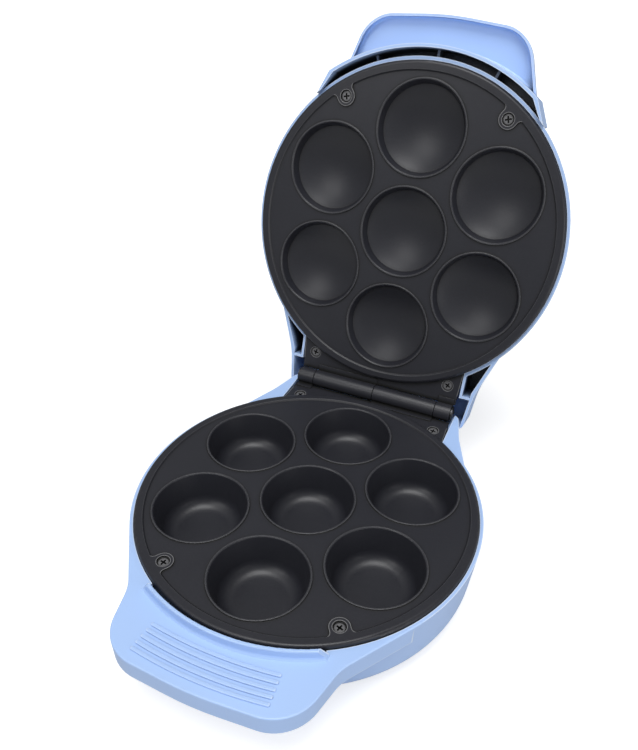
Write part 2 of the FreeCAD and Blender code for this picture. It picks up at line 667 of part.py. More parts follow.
def plate(side):
    """One die-cast plate: disc, rim, cups, rear flange, knuckles and bosses."""
    body = new_body(side + "_plate")
    turned(body, "disc", lowered(side, [
        ("0", "face"), ("plate_radius - rim_width - rim_slope", "face"),
        ("plate_radius - rim_width", "rim"), ("plate_radius", "rim", "rim_round"),
        ("plate_radius", "skirt_depth"), ("plate_radius - skirt_thick", "skirt_depth"),
        ("plate_radius - skirt_thick", "web"), ("0", "web"),
    ]))
    low, high = span(side, "rim", "web")
    flare_start = "plate_radius - rim_width - rim_slope"
    pad_end = "plate_radius - rim_width + 0.6"
    round_end = ("screw_ring - screw_pad", "-screw_pad", "screw_pad - 0.1")
    flare = (flare_start, "-screw_pad", "pad_flare")
    keyhole = [round_end, flare, (pad_end, "-(screw_pad + pad_flare * 2)")]
    keyhole += [(x, f"-({y})") + tuple(bend) for x, y, *bend in reversed(keyhole)]
    pad = prism(body, "screw_pad", keyhole, low, high, turn="screw_angle - 90")
    low, high = span(side, "face", "boss_depth")
    boss = disc(body, "screw_boss", "screw_x", "-screw_y", "screw_pad - 0.5", low, high)
    both_sides(body, "screw_pads", [pad, boss])
    rear_flange(body, side)
    knuckles(body, side)
    seven(body, side, "cup_casting", cup_outside(side), False)
    depth = f"{side}_element_depth"
    ring = [
        ("-(element_ring + rib_half)", "web"), ("-(element_ring - rib_half)", "web"),
        ("-(element_ring - rib_half)", depth), ("-(element_ring + rib_half)", depth),
    ]
    turned(body, "element_rib", lowered(side, ring), angle="rib_angle", front=True)
    low, high = span(side, "web", depth)
    inner = disc(body, "clamp_boss_inner", "element_ring - clamp_reach", "0", "clamp_boss", low, high)
    outer = disc(body, "clamp_boss_outer", "element_ring + clamp_reach", "0", "clamp_boss", low, high)
    around(body, "clamp_bosses", [inner, outer], 3)
    if side == "lower":
        low, high = span(side, "web", "strip_depth")
        disc(body, "thermostat_pillar", "-pillar_ring", "0", "clamp_boss", low, high)
    seven(body, side, "cup_hollow", cup_inside(side), True)
    plate_screw_holes(body, side)
    element_groove(body, side, depth)
    clamp_pilots(body, side, depth)
    bore = sketch(body, "hinge_bore_circle", "YZ", "-plate_radius")
    circle(bore, "hinge_y", "meet", "pin_radius + pin_play")
    feature(body, "Pocket", "hinge_bore", bore, Length="2 * plate_radius", Reversed=True)
    return body


def rear_flange(body, side):
    low, high = span(side, "flange_drop", "flange_under")
    half = [("flange_half", "flange_start"), ("flange_half", "flange_start + 6")]
    half.append(("flange_end_half", "flange_edge"))
    prism(body, "flange", mirrored_outline(half), low, high)


def knuckle_spans(side):
    """Start and end along X of the two knuckles that a plate carries."""
    gap = "knuckle_gap / 2"
    outer = "long_knuckle + short_knuckle"
    if side == "lower":
        short = ("short", f"-({outer} - {gap})", f"-(long_knuckle + {gap})")
        return [("long", gap, f"long_knuckle - {gap}"), short]
    short = ("short", f"long_knuckle + {gap}", f"{outer} - {gap}")
    return [("long", f"-(long_knuckle - {gap})", f"-({gap})"), short]


def knuckles(body, side):
    """Round knuckles on the hinge line, each with the web that carries it."""
    for name, start, end in knuckle_spans(side):
        disc(body, name + "_knuckle", "hinge_y", "meet", "knuckle_radius", start, end, plane="YZ")
        low, high = span(side, "flange_drop - 0.6", "knuckle_radius")
        web = [
            ("flange_edge - 4", low), ("hinge_y", low), ("hinge_y", high), ("flange_edge - 4", high),
        ]
        prism(body, name + "_knuckle_web", web, start, end, plane="YZ")


def element_groove(body, side, depth):
    """Half-round groove for the heating tube under the cast ring."""
    drawing = sketch(body, "element_groove_circle", "XZ")
    circle(drawing, "element_ring", from_meeting(side, depth), "element_tube + groove_play")
    feature(body, "Groove", "element_groove", drawing, ReferenceAxis=(drawing, ["V_Axis"]), Angle="360")


def clamp_pilots(body, side, depth):
    """Pilot holes for the clamp screws."""
    low, high = span(side, f"{depth} - small_length", f"{depth} + 1")
    places = [("inner", "element_ring - clamp_reach"), ("outer", "element_ring + clamp_reach")]
    holes = [disc(body, f"clamp_pilot_{name}", x, "0", "small_pilot", low, high, True) for name, x in places]
    around(body, "clamp_pilots", holes, 3)
    if side == "lower":
        end = "strip_depth"
        low, high = span(side, f"{end} - small_length", f"{end} + 1")
        disc(body, "thermostat_pilot", "-pillar_ring", "0", "small_pilot", low, high, True)


# Housings

def polar(radius, angle):
    """A point at a radius and an angle off the front line, to the right."""
    return f"({radius}) * sin({angle})", f"-({radius}) * cos({angle})"


def tangent_point(radius, x, y):
    """Where a line through x, -y touches the circle about the origin."""
    return polar(radius, f"atan(({x}) / ({y})) + acos(({radius}) / hypot({x}; {y}))")


def base_handle(inset):
    """Right half of the base handle's outline, drawn in by inset."""
    leave = tangent_point("housing_radius", "base_grip_x", "base_grip_y")
    return [
        (f"{leave[0]} - ({inset})", f"{leave[1]} + ({inset}) * 0.5"),
        (f"base_grip_x - ({inset})", "-base_grip_y", f"base_grip_bend + ({inset})"),
        (f"base_tip_x - ({inset})", f"-base_tip_y + ({inset})", f"base_tip_bend - ({inset})"),
    ]


def lid_handle(inset):
    """Right half of the lid handle's outline, drawn in by inset."""
    leave = polar("slot_outer", "slot_angle")
    return [
        (f"{leave[0]} - ({inset})", f"{leave[1]} + ({inset}) * 0.5"),
        (f"lid_tip_x - ({inset})", f"-lid_tip_y + ({inset})", f"lid_tip_bend - ({inset})"),
    ]


def whole_handle(half, reach, inset):
    """Both halves of a handle with the bowed front edge between them."""
    front = ("0", f"-({reach}) + ({inset})", "handle_front_bend")
    left = [(f"-({corner[0]})",) + tuple(corner[1:]) for corner in reversed(half)]
    return half + [front] + left


def base_neck(inset):
    """Right half of the base's neck, front to back, drawn in by inset."""
    return [
        (f"neck_start_x - ({inset})", "neck_start_y"),
        (f"neck_x - ({inset})", "base_neck_y", "neck_bend"),
        (f"base_neck_end_x - ({inset})", f"base_back_y - ({inset})", f"neck_corner - ({inset}) / 2"),
    ]


def lid_neck(inset):
    """Right half of the lid's neck, front to back, drawn in by inset."""
    return [
        (f"neck_start_x - ({inset})", "neck_start_y"),
        (f"neck_x - ({inset})", "lid_neck_y", "neck_bend"),
        (f"lid_neck_end_x - ({inset})", f"lid_back_y - ({inset})", f"neck_corner - ({inset}) / 2"),
    ]


def pierced(body, name, x, y, radius, low, high):
    """A blind or through hole and its twin across the middle."""
    both_sides(body, name + "s", [disc(body, name, x, y, radius, low, high, True)])


def base_housing():
    """One-piece moulded base: bowl, neck beside the hinge, handle and lip."""
    body = new_body("base_housing")
    turned(body, "bowl", [
        ("0", "foot_height"), ("base_floor_radius", "foot_height", "base_corner"),
        ("housing_radius", "land"), ("0", "land"),
    ])
    prism(body, "neck", mirrored_outline(base_neck("0")), "foot_height", "land")
    bottom = number("foot_height")
    softened(body, "neck_bottom_round", "base_corner * 0.6", lambda edge: low_back_edge(edge, bottom))
    handle = whole_handle(base_handle("0"), "base_reach", "0")
    prism(body, "handle", handle, "land - base_handle_thick", "land")
    softened(body, "handle_round", "base_handle_round", lambda edge: handle_edge(edge, number("land")))
    turned(body, "bowl_hollow", [
        ("0", "floor_top"), ("base_floor_radius - housing_wall", "floor_top", "base_corner - housing_wall"),
        ("housing_radius - housing_wall - 0.6", "base_seat"), ("mouth_radius", "base_seat"),
        ("mouth_radius", "land + 1"), ("0", "land + 1"),
    ], cut=True)
    base_neck_hollow(body)
    base_handle_hollow(body)
    lip_and_front_gap(body)
    grip_ridges(body)
    base_posts(body)
    return body


def low_back_edge(edge, level):
    """Bottom edges of the base's neck, behind the bowl."""
    box = edge.BoundBox
    return abs(box.ZMin - level) < 1e-3 and abs(box.ZMax - level) < 1e-3 and box.YMax > number("base_neck_y")


def handle_edge(edge, level):
    """Outer edges of a handle at one level."""
    box = edge.BoundBox
    flat = abs(box.ZMin - level) < 1e-3 and abs(box.ZMax - level) < 1e-3
    front = -number("plate_radius")
    return flat and box.YMax < front + 13.5 and box.YMin < front + 8


def base_neck_hollow(body):
    """Space under the rear flange and the hinge, inside the neck."""
    side = "flange_half + flange_play"
    half = [(side, "flange_start - 8"), (side, "base_back_y - housing_wall")]
    prism(body, "neck_hollow", mirrored_outline(half), "floor_top", "land + 1", True)
    low_half = base_neck("housing_wall")
    low_half[0] = ("neck_start_x - 8", "neck_start_y")
    prism(body, "neck_side_hollow", mirrored_outline(low_half), "floor_top + 4", "land - land_thick", True)
    back = [(side, "flange_edge"), (side, "base_back_y + 1")]
    prism(body, "back_wall_cut", mirrored_outline(back), "back_top", "land + 1", True)
    trough = [(f"{side} + 1", "flange_edge - 1"), (f"{side} + 1", "base_back_y - housing_wall / 2")]
    prism(body, "hinge_trough", mirrored_outline(trough), "trough_top - housing_wall", "trough_top")


def base_handle_hollow(body):
    """The handle is hollow from below, with ribs across it."""
    low = "land - base_handle_thick"
    inner = [
        polar("handle_back", "-handle_hollow_angle") + (None, "round"),
        polar("handle_back", "handle_hollow_angle"),
        ("base_tip_x - handle_wall", "-base_tip_y + handle_wall", "base_tip_bend - handle_wall"),
        ("0", "-base_reach + handle_wall", "handle_front_bend"),
        ("-(base_tip_x - handle_wall)", "-base_tip_y + handle_wall", "base_tip_bend - handle_wall"),
    ]
    prism(body, "handle_hollow", inner, f"{low} - 1", "land - land_thick", True)
    rib = prism(body, "handle_rib", handle_bar("handle_rib_x"), f"{low} + 2", "land - 1")
    both_sides(body, "handle_ribs", [rib])
    prism(body, "handle_middle_rib", handle_bar("0"), f"{low} + 2", "land - 1")


def handle_bar(x):
    """Outline of a rib under the base handle, back wall to front wall."""
    near, far = "-(handle_back - 2)", "-(base_reach - handle_wall * 0.6)"
    left, right = f"{x} - handle_rib_thick / 2", f"{x} + handle_rib_thick / 2"
    return [(left, far), (right, far), (right, near), (left, near)]


def lip_and_front_gap(body):
    """Curved lip between handle and plate, and the dark gap inside it."""
    mouth = "-mouth_radius"
    outer = "-(mouth_radius + front_room)"
    turned(body, "front_gap", [
        (f"{mouth} + 2", "base_seat + 2"), (outer, "base_seat + 2"), (outer, "land + 1"),
        (f"{mouth} + 2", "land + 1"),
    ], cut=True, angle="lip_angle - 1", front=True)
    far = "-(lip_inner + lip_thick)"
    top = "land + lip_height"
    turned(body, "lip", [
        ("-lip_inner", "land - 2"), ("-lip_inner", top, "0.5"), (far, top, "0.8"),
        (f"{far} - 0.3", "land + 1.2", "2"), (f"{far} - 1.5", "land - 0.2"), (f"{far} - 1.5", "land - 2"),
    ], angle="lip_angle", front=True)
    end = "(lip_inner * sin(lip_angle / 2))"
    above, past = f"{top} + 0.5", f"{end} + 4"
    slope = [
        (f"{end} - lip_run_out", above), (past, above), (past, "land + 0.1"), (f"{end} + 0.6", "land + 0.1"),
    ]
    cut = prism(body, "lip_end", slope, "lip_inner * 0.7", "lip_inner * 1.2", True, "XZ")
    both_sides(body, "lip_ends", [cut])


def grip_ridges(body):
    """Rows of low curved ridges with round ends on the handle's land."""
    for k in range(int(number("ridge_count"))):
        middle = f"(ridge_first + {k} * ridge_pitch)"
        centre = f"(ridge_bend - {middle})"
        angle = f"asin((ridge_half + {k} * ridge_growth) / ridge_bend)"
        corners = []
        for edge, signs in (("-", ("-", "")), ("+", ("", "-"))):
            radius = f"(ridge_bend {edge} ridge_width / 2)"
            for sign in signs:
                corners.append((f"{sign}{radius} * sin({angle})", f"{centre} - {radius} * cos({angle})"))
            corners[-2] += (None, centre)
        prism(body, f"ridge_{k + 1}", corners, "land - 0.5", "land + ridge_height")
    low, high = number("land"), number("land + ridge_height")
    softened(body, "ridge_ends", "ridge_width * 0.45", lambda edge: ridge_end(edge, low))
    softened(body, "ridge_tops", "ridge_height * 0.5", lambda edge: ridge_top(edge, high))


def ridge_end(edge, level):
    """Upright edges at the ends of the ridges."""
    box = edge.BoundBox
    upright_edge = box.XLength + box.YLength < 1e-3
    return upright_edge and abs(box.ZMin - level) < 1e-3 and box.YMax < -number("ridge_first") + 5


def ridge_top(edge, level):
    """Edges round the top of the ridges."""
    box = edge.BoundBox
    return abs(box.ZMin - level) < 1e-3 and box.ZLength < 1e-3 and box.YMax < -number("ridge_first") + 5


def base_posts(body):
    """Screw bosses, shield posts, terminal block pegs, feet holes and inlet."""
    front_top = "meet - boss_depth"
    rear_top = "meet - flange_under"
    front = post(body, "front_boss", "screw_x", "-screw_y", "boss_radius", front_top, True)
    rear = post(body, "rear_boss", "rear_screw_x", "rear_screw_y", "boss_radius", rear_top, True)
    both_sides(body, "plate_bosses", [front, rear])
    for name, x, y, top in (
        ("front_pilot", "screw_x", "-screw_y", front_top),
        ("rear_pilot", "rear_screw_x", "rear_screw_y", rear_top),
    ):
        pierced(body, name, x, y, "pilot", f"{top} - screw_length", f"{top} + 1")
    x, y = polar("shield_post_ring", "0")
    shield_post = post(body, "shield_post", x, y, "boss_radius", "base_shield", True)
    around(body, "shield_posts", [shield_post], 3)
    low, high = "base_shield - small_length", "base_shield + 1"
    hole = disc(body, "shield_pilot", x, y, "small_pilot", low, high, True)
    around(body, "shield_pilots", [hole], 3)
    for name in ("front", "rear"):
        sign = "-" if name == "front" else ""
        x, y = f"{name}_foot_x", f"{sign}{name}_foot_y"
        pierced(body, name + "_foot_hole", x, y, "foot_stem + screw_play", "foot_height - 1", "floor_top + 1")
    drawing = sketch(body, "inlet_circle", "XZ", "-(base_back_y + 1)")
    circle(drawing, "inlet_x", "inlet_z", "inlet_radius")
    feature(body, "Pocket", "cord_inlet", drawing, Length="housing_wall + 2", Reversed=True)


def lid_housing():
    """One-piece moulded lid: bowl, neck, front slot and handle, drawn shut."""
    body = new_body("lid_housing")
    plate_outline = whole_handle(lid_handle("0"), "lid_reach", "0")
    prism(body, "handle", plate_outline, "handle_low", "handle_top")
    softened(body, "handle_round", "lid_handle_round", lambda edge: handle_edge(edge, number("handle_top")))
    turned(body, "bowl", [
        ("0", "lid_top"), ("crown_radius", "lid_top", "crown_bend"),
        ("shoulder_radius", "lid_top - shoulder_drop", "lid_corner"),
        ("housing_radius", "lid_edge"), ("0", "lid_edge"),
    ])
    prism(body, "neck", mirrored_outline(lid_neck("0")), "lid_edge", "neck_roof")
    softened(body, "neck_round", "neck_edge", lambda edge: high_back_edge(edge, number("neck_roof")))
    outer = "slot_outer + slot_wall"
    block = [
        polar(outer, "-(slot_angle + 1)") + (None, "round"), polar(outer, "slot_angle + 1"),
        polar("housing_radius", "slot_end_angle + 2"), polar("housing_radius - 8", "slot_end_angle"),
        polar("housing_radius - 8", "-slot_end_angle"), polar("housing_radius", "-(slot_end_angle + 2)"),
    ]
    prism(body, "slot_block", block, "meet + slot_stand", "handle_top")
    inner_shoulder = "(shoulder_radius - housing_wall)"
    turned(body, "bowl_hollow", [
        ("0", "lid_edge - 1"), ("mouth_radius", "lid_edge - 1"), ("mouth_radius", "lid_seat"),
        ("housing_radius - housing_wall - 0.6", "lid_seat"),
        (inner_shoulder, f"lid_top - floor_thick - roof_slope * ({inner_shoulder} - crown_radius)",
         "lid_corner - housing_wall"),
        ("crown_radius", "lid_top - floor_thick", "crown_bend"), ("0", "lid_top - floor_thick"),
    ], cut=True)
    turned(body, "edge_trim", [
        ("0", "meet - 1"), ("housing_radius", "meet - 1"), ("housing_radius", "lid_edge"), ("0", "lid_edge"),
    ], cut=True)
    lid_front_hollows(body, "handle_top - land_thick")
    lid_neck_hollows(body)
    lid_posts(body)
    swing_open(body)
    return body


def high_back_edge(edge, level):
    """Top edges of the lid's neck, behind the bowl."""
    box = edge.BoundBox
    flat = abs(box.ZMin - level) < 1e-3 and abs(box.ZMax - level) < 1e-3
    return flat and box.YMax > number("housing_radius")


def lid_front_hollows(body, roof):
    """The curved slot with its ribs, and the tray under the handle."""
    slot = [
        polar("housing_radius", "-slot_end_angle") + (None, "round"),
        polar("housing_radius", "slot_end_angle"),
        polar("slot_outer", "slot_angle") + (None, "round"), polar("slot_outer", "-slot_angle"),
    ]
    prism(body, "slot", slot, "meet - 1", roof, True)
    bar = [
        ("housing_radius - 0.5", "-slot_rib_thick / 2"), ("slot_outer + 0.5", "-slot_rib_thick / 2"),
        ("slot_outer + 0.5", "slot_rib_thick / 2"), ("housing_radius - 0.5", "slot_rib_thick / 2"),
    ]
    for name, place in (("left", "-1"), ("middle", "0"), ("right", "1")):
        turn = f"slot_rib_angle * {place} - 90"
        prism(body, f"slot_rib_{name}", bar, "meet + slot_rib_stand", f"{roof} + 0.5", turn=turn)
    back = "(slot_outer + slot_wall)"
    tip_x, tip_y = "(lid_tip_x - lid_handle_wall * 0.75)", "-lid_tip_y + lid_handle_wall"
    tip_bend = "lid_tip_bend - lid_handle_wall"
    tray = [
        polar(back, "-lid_tray_angle") + (None, "round"), polar(back, "lid_tray_angle"),
        (tip_x, tip_y, tip_bend), ("0", "-lid_reach + lid_handle_wall", "handle_front_bend"),
        (f"-{tip_x}", tip_y, tip_bend),
    ]
    level = "handle_low + lid_tray_depth"
    prism(body, "handle_tray", tray, "handle_low - 1", level, True)
    softened(body, "tray_round", "lid_tray_round", lambda edge: tray_edge(edge, number(level)))


def tray_edge(edge, level):
    """Edges round the floor of the lid handle's tray."""
    box = edge.BoundBox
    return abs(box.ZMin - level) < 1e-3 and box.ZLength < 1e-3 and box.YMax < -number("mouth_radius * 0.8")


def lid_neck_hollows(body):
    """Room for the hinge, and the pockets beside it."""
    roof = "neck_roof - floor_thick"
    side = "(flange_half + flange_play)"
    middle = [(side, "flange_start - 16"), (side, "lid_back_y - arm_wall")]
    prism(body, "neck_hollow", mirrored_outline(middle), "lid_edge - 1", roof, True)
    rib_back = "cross_rib_y + cross_rib_thick"
    rear = [("neck_x - arm_wall - 0.3", rib_back), ("lid_neck_end_x - arm_wall", "lid_back_y - arm_wall")]
    prism(body, "neck_rear_hollow", mirrored_outline(rear), "lid_edge - 1", roof, True)
    wall = f"({side} + cross_rib_thick)"
    reach = "(housing_radius + 0.2)"
    pocket = [
        pocket_tip(reach) + (None, "round"), (wall, f"sqrt({reach} * {reach} - {wall} * {wall})"),
        (wall, "cross_rib_y"),
        ("neck_x - arm_wall - 0.1", "cross_rib_y"), ("neck_x - arm_wall", "lid_neck_y - 1.5"),
    ]
    right = prism(body, "neck_pocket", pocket, "lid_edge - 1", roof, True)
    both_sides(body, "neck_pockets", [right])
    inner = "lid_neck_end_x - arm_wall"
    back = [(inner, "lid_back_y - neck_corner"), (inner, "lid_back_y + 1")]
    prism(body, "back_edge", mirrored_outline(back), "lid_edge - 1", "meet + lid_back_stand", True)


def pocket_tip(reach):
    """Where the inside of the neck's wall meets a circle round the bowl."""
    run, rise = "(neck_start_x - neck_x)", "(lid_neck_y - neck_start_y)"
    wall_line = f"(neck_start_x * {rise} + neck_start_y * {run}) / hypot({run}; {rise})"
    return polar(reach, f"90 deg + atan({run} / {rise}) + acos(({wall_line} - arm_wall * 1.2) / {reach})")


def lid_posts(body):
    """Screw bosses, shield posts, lead clamp posts and lamp holes."""
    front_end = "meet + boss_depth"
    rear_end = "meet + flange_under"
    front = post(body, "front_boss", "screw_x", "-screw_y", "boss_radius", front_end, False)
    rear = post(body, "rear_boss", "rear_screw_x", "rear_screw_y", "boss_radius", rear_end, False)
    both_sides(body, "plate_bosses", [front, rear])
    for name, x, y, end in (
        ("front_pilot", "screw_x", "-screw_y", front_end),
        ("rear_pilot", "rear_screw_x", "rear_screw_y", rear_end),
    ):
        pierced(body, name, x, y, "pilot", f"{end} - 1", f"{end} + screw_length")
    x, y = polar("shield_post_ring", "0")
    shield_post = post(body, "shield_post", x, y, "boss_radius", "lid_shield", False)
    around(body, "shield_posts", [shield_post], 3)
    low, high = "lid_shield - 1", "lid_shield + small_length"
    hole = disc(body, "shield_pilot", x, y, "small_pilot", low, high, True)
    around(body, "shield_pilots", [hole], 3)
    clamp = post(body, "clamp_post", "lead_clamp_x", "lead_clamp_y", "clamp_boss", "lead_clamp_level", False)
    both_sides(body, "clamp_posts", [clamp])
    low, high = "lead_clamp_level - 1", "lead_clamp_level + small_length"
    pierced(body, "clamp_pilot", "lead_clamp_x", "lead_clamp_y", "small_pilot", low, high)
    pierced(body, "lamp_hole", "lamp_x", "-lamp_y", "lamp_radius + lamp_play", "lid_top - 14", "lid_top")


# Hinge pin, feet and lamps

def hinge_pin():
    """Steel pin through all the knuckles."""
    body = new_body("hinge_pin")
    disc(body, "pin", "hinge_y", "meet", "pin_radius", "-pin_half", "pin_half", plane="YZ")
    softened(body, "pin_ends", "0.5", lambda edge: True)
    return body


def hinge_pin_clips():
    """Push-on clips on both ends of the pin."""
    body = new_body("hinge_pin_clips")
    start = "long_knuckle + short_knuckle + knuckle_gap / 2"
    end = f"{start} + clip_thick"
    clip = disc(body, "clip", "hinge_y", "meet", "clip_radius", start, end, plane="YZ")
    low, high = f"{start} - 1", f"{end} + 1"
    hole = disc(body, "clip_hole", "hinge_y", "meet", "pin_radius + 0.02", low, high, True, "YZ")
    both_sides(body, "clips", [clip, hole])
    return body


def foot(name, x, y):
    """Rubber foot with a barbed stem through the floor."""
    body = new_body("foot_" + name)
    edge, stem = f"{x} + foot_radius", f"{x} + foot_stem"
    turned(body, "foot", [
        (x, "0"), (f"{edge} - 0.7", "0"), (edge, "0.9"), (edge, "foot_height"), (stem, "foot_height"),
        (stem, "floor_top + 0.1"), (f"{stem} + 0.6", "floor_top + 0.3"), (f"{stem} - 1", "floor_top + 2.2"),
        (x, "floor_top + 2.2"),
    ], x=x, y=y)
    return body


def lamp_pair(name, x):
    """Clear lens in the lid's roof and the neon lamp under it."""
    under_roof = "(lamp_roof - floor_thick - 0.9)"
    flange_end = f"({under_roof} - lens_flange)"
    lens = new_body(name + "_lamp_lens")
    turned(lens, "lens", [
        (x, flange_end), (f"{x} + lamp_radius + lens_flange", flange_end),
        (f"{x} + lamp_radius + lens_flange", under_roof),
        (f"{x} + lamp_radius", under_roof), (f"{x} + lamp_radius", "lamp_roof + lens_dome", "1.2"),
        (x, "lamp_roof + lens_dome"),
    ], x=x, y="-lamp_y")
    swing_open(lens)
    lamp = new_body(name + "_lamp")
    low = f"({flange_end} - 0.1 - lamp_length)"
    bulb, top = f"{x} + lamp_radius - 1.4", f"{flange_end} - 0.1"
    turned(lamp, "bulb", [(x, low), (bulb, low), (bulb, top, "1.2"), (x, top)], x=x, y="-lamp_y")
    swing_open(lamp)
    return [lens, lamp]


# Screws

def cross_recess(body, name, side, x, y, surface):
    """Cross-shaped recess in a screw head."""
    w, r = "cross_width / 2", "cross_length / 2"
    shape = [(w, r), (w, w), (r, w), (r, f"-{w}"), (w, f"-{w}"), (w, f"-{r}")]
    corners = [(f"{x} + {a}", f"{y} + {b}") for a, b in shape]
    corners += [(f"{x} - {a}", f"{y} - ({b})") for a, b in shape]
    low, high = span(side, f"{surface} - 0.5", f"{surface} + 1.1")
    return prism(body, name, corners, low, high, True)


def plate_screws(side):
    """Four countersunk screws that hold a plate in its housing."""
    body = new_body(side + "_plate_screws")
    places = (("front", "screw_x", "-screw_y", "(rim + screw_sink + 0.4)"),
              ("rear", "rear_screw_x", "rear_screw_y", "(flange_drop + screw_sink)"))
    for name, x, y, top in places:
        profile = [
            ("0", top), ("screw_head", top), ("screw_shank", f"{top} + screw_cone"),
            ("screw_shank", f"{top} + screw_length - 0.8"), ("screw_shank - 0.8", f"{top} + screw_length"),
            ("0", f"{top} + screw_length"),
        ]
        screw = turned(body, name, lowered(side, profile, x), x=x, y=y)
        cross = cross_recess(body, name + "_cross", side, x, y, top)
        both_sides(body, name + "_pair", [screw, cross])
    if side == "upper":
        swing_open(body)
    return body


def pan_screw(body, name, side, x, y, seat):
    """A small screw driven towards the plate, its head beyond the seat."""
    start = f"({seat} - small_length + 0.5)"
    profile = [
        ("0", start), ("small_shank", start), ("small_shank", seat), ("small_head", seat),
        ("small_head", f"{seat} + small_head_height", "0.9"), ("0", f"{seat} + small_head_height"),
    ]
    return turned(body, name, lowered(side, profile, x), x=x, y=y)


def clamp_screws(side):
    """Screws of the clamp straps, and of the thermostat bracket below."""
    body = new_body(side + "_clamp_screws")
    seat = f"({side}_element_depth + clamp_thick)"
    inner = pan_screw(body, "inner", side, "element_ring - clamp_reach", "0", seat)
    outer = pan_screw(body, "outer", side, "element_ring + clamp_reach", "0", seat)
    around(body, "six", [inner, outer], 3)
    if side == "lower":
        pan_screw(body, "bracket_screw", side, "-pillar_ring", "0", "(strip_depth + strip_thick)")
    else:
        swing_open(body)
    return body


def shield_screws(side):
    """Screws driven from the plate side into the posts of the housing."""
    body = new_body(side + "_shield_screws")
    seat = f"({side}_shield_depth - shield_thick)"
    x, y = polar("shield_post_ring", "0")
    screw = away_screw(body, "post_screw", side, x, y, seat)
    around(body, "three", [screw], 3)
    if side == "upper":
        clamp_seat = "(upper_element_depth - lead_radius - 0.1 - lead_clamp_thick)"
        clamp = away_screw(body, "lead_clamp_screw", side, "lead_clamp_x", "lead_clamp_y", clamp_seat)
        both_sides(body, "lead_clamp_screws", [clamp])
        swing_open(body)
    return body


def away_screw(body, name, side, x, y, seat):
    """A small screw driven away from the plate."""
    end = f"({seat} + small_length - 0.5)"
    profile = [
        ("0", f"{seat} - small_head_height"), ("small_head", f"{seat} - small_head_height", "0.9"),
        ("small_head", seat), ("small_shank", seat), ("small_shank", end), ("0", end),
    ]
    return turned(body, name, lowered(side, profile, x), x=x, y=y)


# Heating

def heating_element(side):
    """Steel-sheathed heating tube: one ring whose legs point to the hinge."""
    body = new_body(side + "_heating_element")
    level = from_meeting(side, f"{side}_element_depth")
    path = sketch(body, "tube_path", "XY", level)
    heating_path(path)
    section = sketch(body, "tube_section", "XZ", "-element_end")
    circle(section, "element_leg", level, "element_tube")
    tube = body.newObject("PartDesign::AdditivePipe", "tube")
    tube.Profile = section
    tube.Spine = (path, [""])
    start, end = "-(element_end + pin_lead)", "-element_end + 1"
    pin = disc(body, "connector_pin", "element_leg", level, "lead_radius - 0.3", start, end, plane="XZ")
    both_sides(body, "connector_pins", [pin])
    if side == "upper":
        swing_open(body)
    return body


def heating_path(path):
    """Centre line of the heating tube, from one leg round to the other."""
    ring, bend = number("element_ring"), number("element_bend")
    leg, end = number("element_leg"), number("element_end")
    middle = Vector(leg + bend, math.sqrt((ring + bend) ** 2 - (leg + bend) ** 2), 0)
    angle = math.atan2(middle.y, middle.x)
    mirror = Vector(-middle.x, middle.y, 0)
    up = Vector(0, 0, 1)
    right = path.addGeometry(Part.LineSegment(Vector(leg, end, 0), Vector(leg, middle.y, 0)), False)
    right_circle = Part.Circle(middle, up, bend)
    bend_right = path.addGeometry(Part.ArcOfCircle(right_circle, math.pi, math.pi + angle), False)
    whole = Part.Circle(Vector(0, 0, 0), up, ring)
    round_way = path.addGeometry(Part.ArcOfCircle(whole, math.pi - angle, 2 * math.pi + angle), False)
    bend_left = path.addGeometry(Part.ArcOfCircle(Part.Circle(mirror, up, bend), -angle, 0), False)
    left = path.addGeometry(Part.LineSegment(Vector(-leg, middle.y, 0), Vector(-leg, end, 0)), False)
    bind(path, [
        ("Tangent", right, 2, bend_right, 1), ("Tangent", bend_right, 2, round_way, 2),
        ("Tangent", round_way, 1, bend_left, 1), ("Tangent", bend_left, 2, left, 1),
        ("Vertical", right), ("Vertical", left), ("Coincident", round_way, 3, -1, 1),
        ("Radius", round_way, "element_ring"), ("Radius", bend_right, "element_bend"),
        ("Radius", bend_left, "element_bend"),
    ] + at(right, 1, "element_leg", "element_end") + at(left, 2, "-element_leg", "element_end"))


def element_clamp(side, k):
    """Bent strap that holds the heating tube up in its groove."""
    body = new_body(f"{side}_element_clamp_{k + 1}")
    seat = f"{side}_element_depth"
    crest = f"({seat} + element_tube + 0.1)"
    far, near = "element_ring + clamp_reach + clamp_boss", "element_ring - clamp_reach - clamp_boss"
    inner_low, outer_low = "element_ring - element_tube - 0.5", "element_ring + element_tube + 0.5"
    strap = [
        (near, seat), (f"{inner_low} - 0.6", seat), (inner_low, crest, "0.8"), (outer_low, crest, "0.8"),
        (f"{outer_low} + 0.6", seat), (far, seat), (far, f"{seat} + clamp_thick"),
        (f"{outer_low} + 0.6 + clamp_thick", f"{seat} + clamp_thick", "0.8"),
        (f"{outer_low} + clamp_thick * 0.8", f"{crest} + clamp_thick", "1.6"),
        (f"{inner_low} - clamp_thick * 0.8", f"{crest} + clamp_thick", "1.6"),
        (f"{inner_low} - 0.6 - clamp_thick", f"{seat} + clamp_thick", "0.8"), (near, f"{seat} + clamp_thick"),
    ]
    swing = f"{k} * 120"
    drawing = sketch(body, "strap_outline", "XZ", swing=swing) if k else sketch(body, "strap_outline", "XZ")
    outline(drawing, lowered(side, strap))
    feature(body, "Pad", "strap", drawing, Length="clamp_width", Midplane=True)
    low, high = span(side, f"{seat} - 1", f"{seat} + clamp_thick + 1")
    for name, x in (("inner", "element_ring - clamp_reach"), ("outer", "element_ring + clamp_reach")):
        hole = sketch(body, f"{name}_hole_circle", "XY", low, swing)
        circle(hole, x, "0", "small_clear")
        feature(body, "Pocket", f"{name}_hole", hole, Length=f"({high}) - ({low})", Reversed=True)
    if side == "upper":
        swing_open(body)
    return body


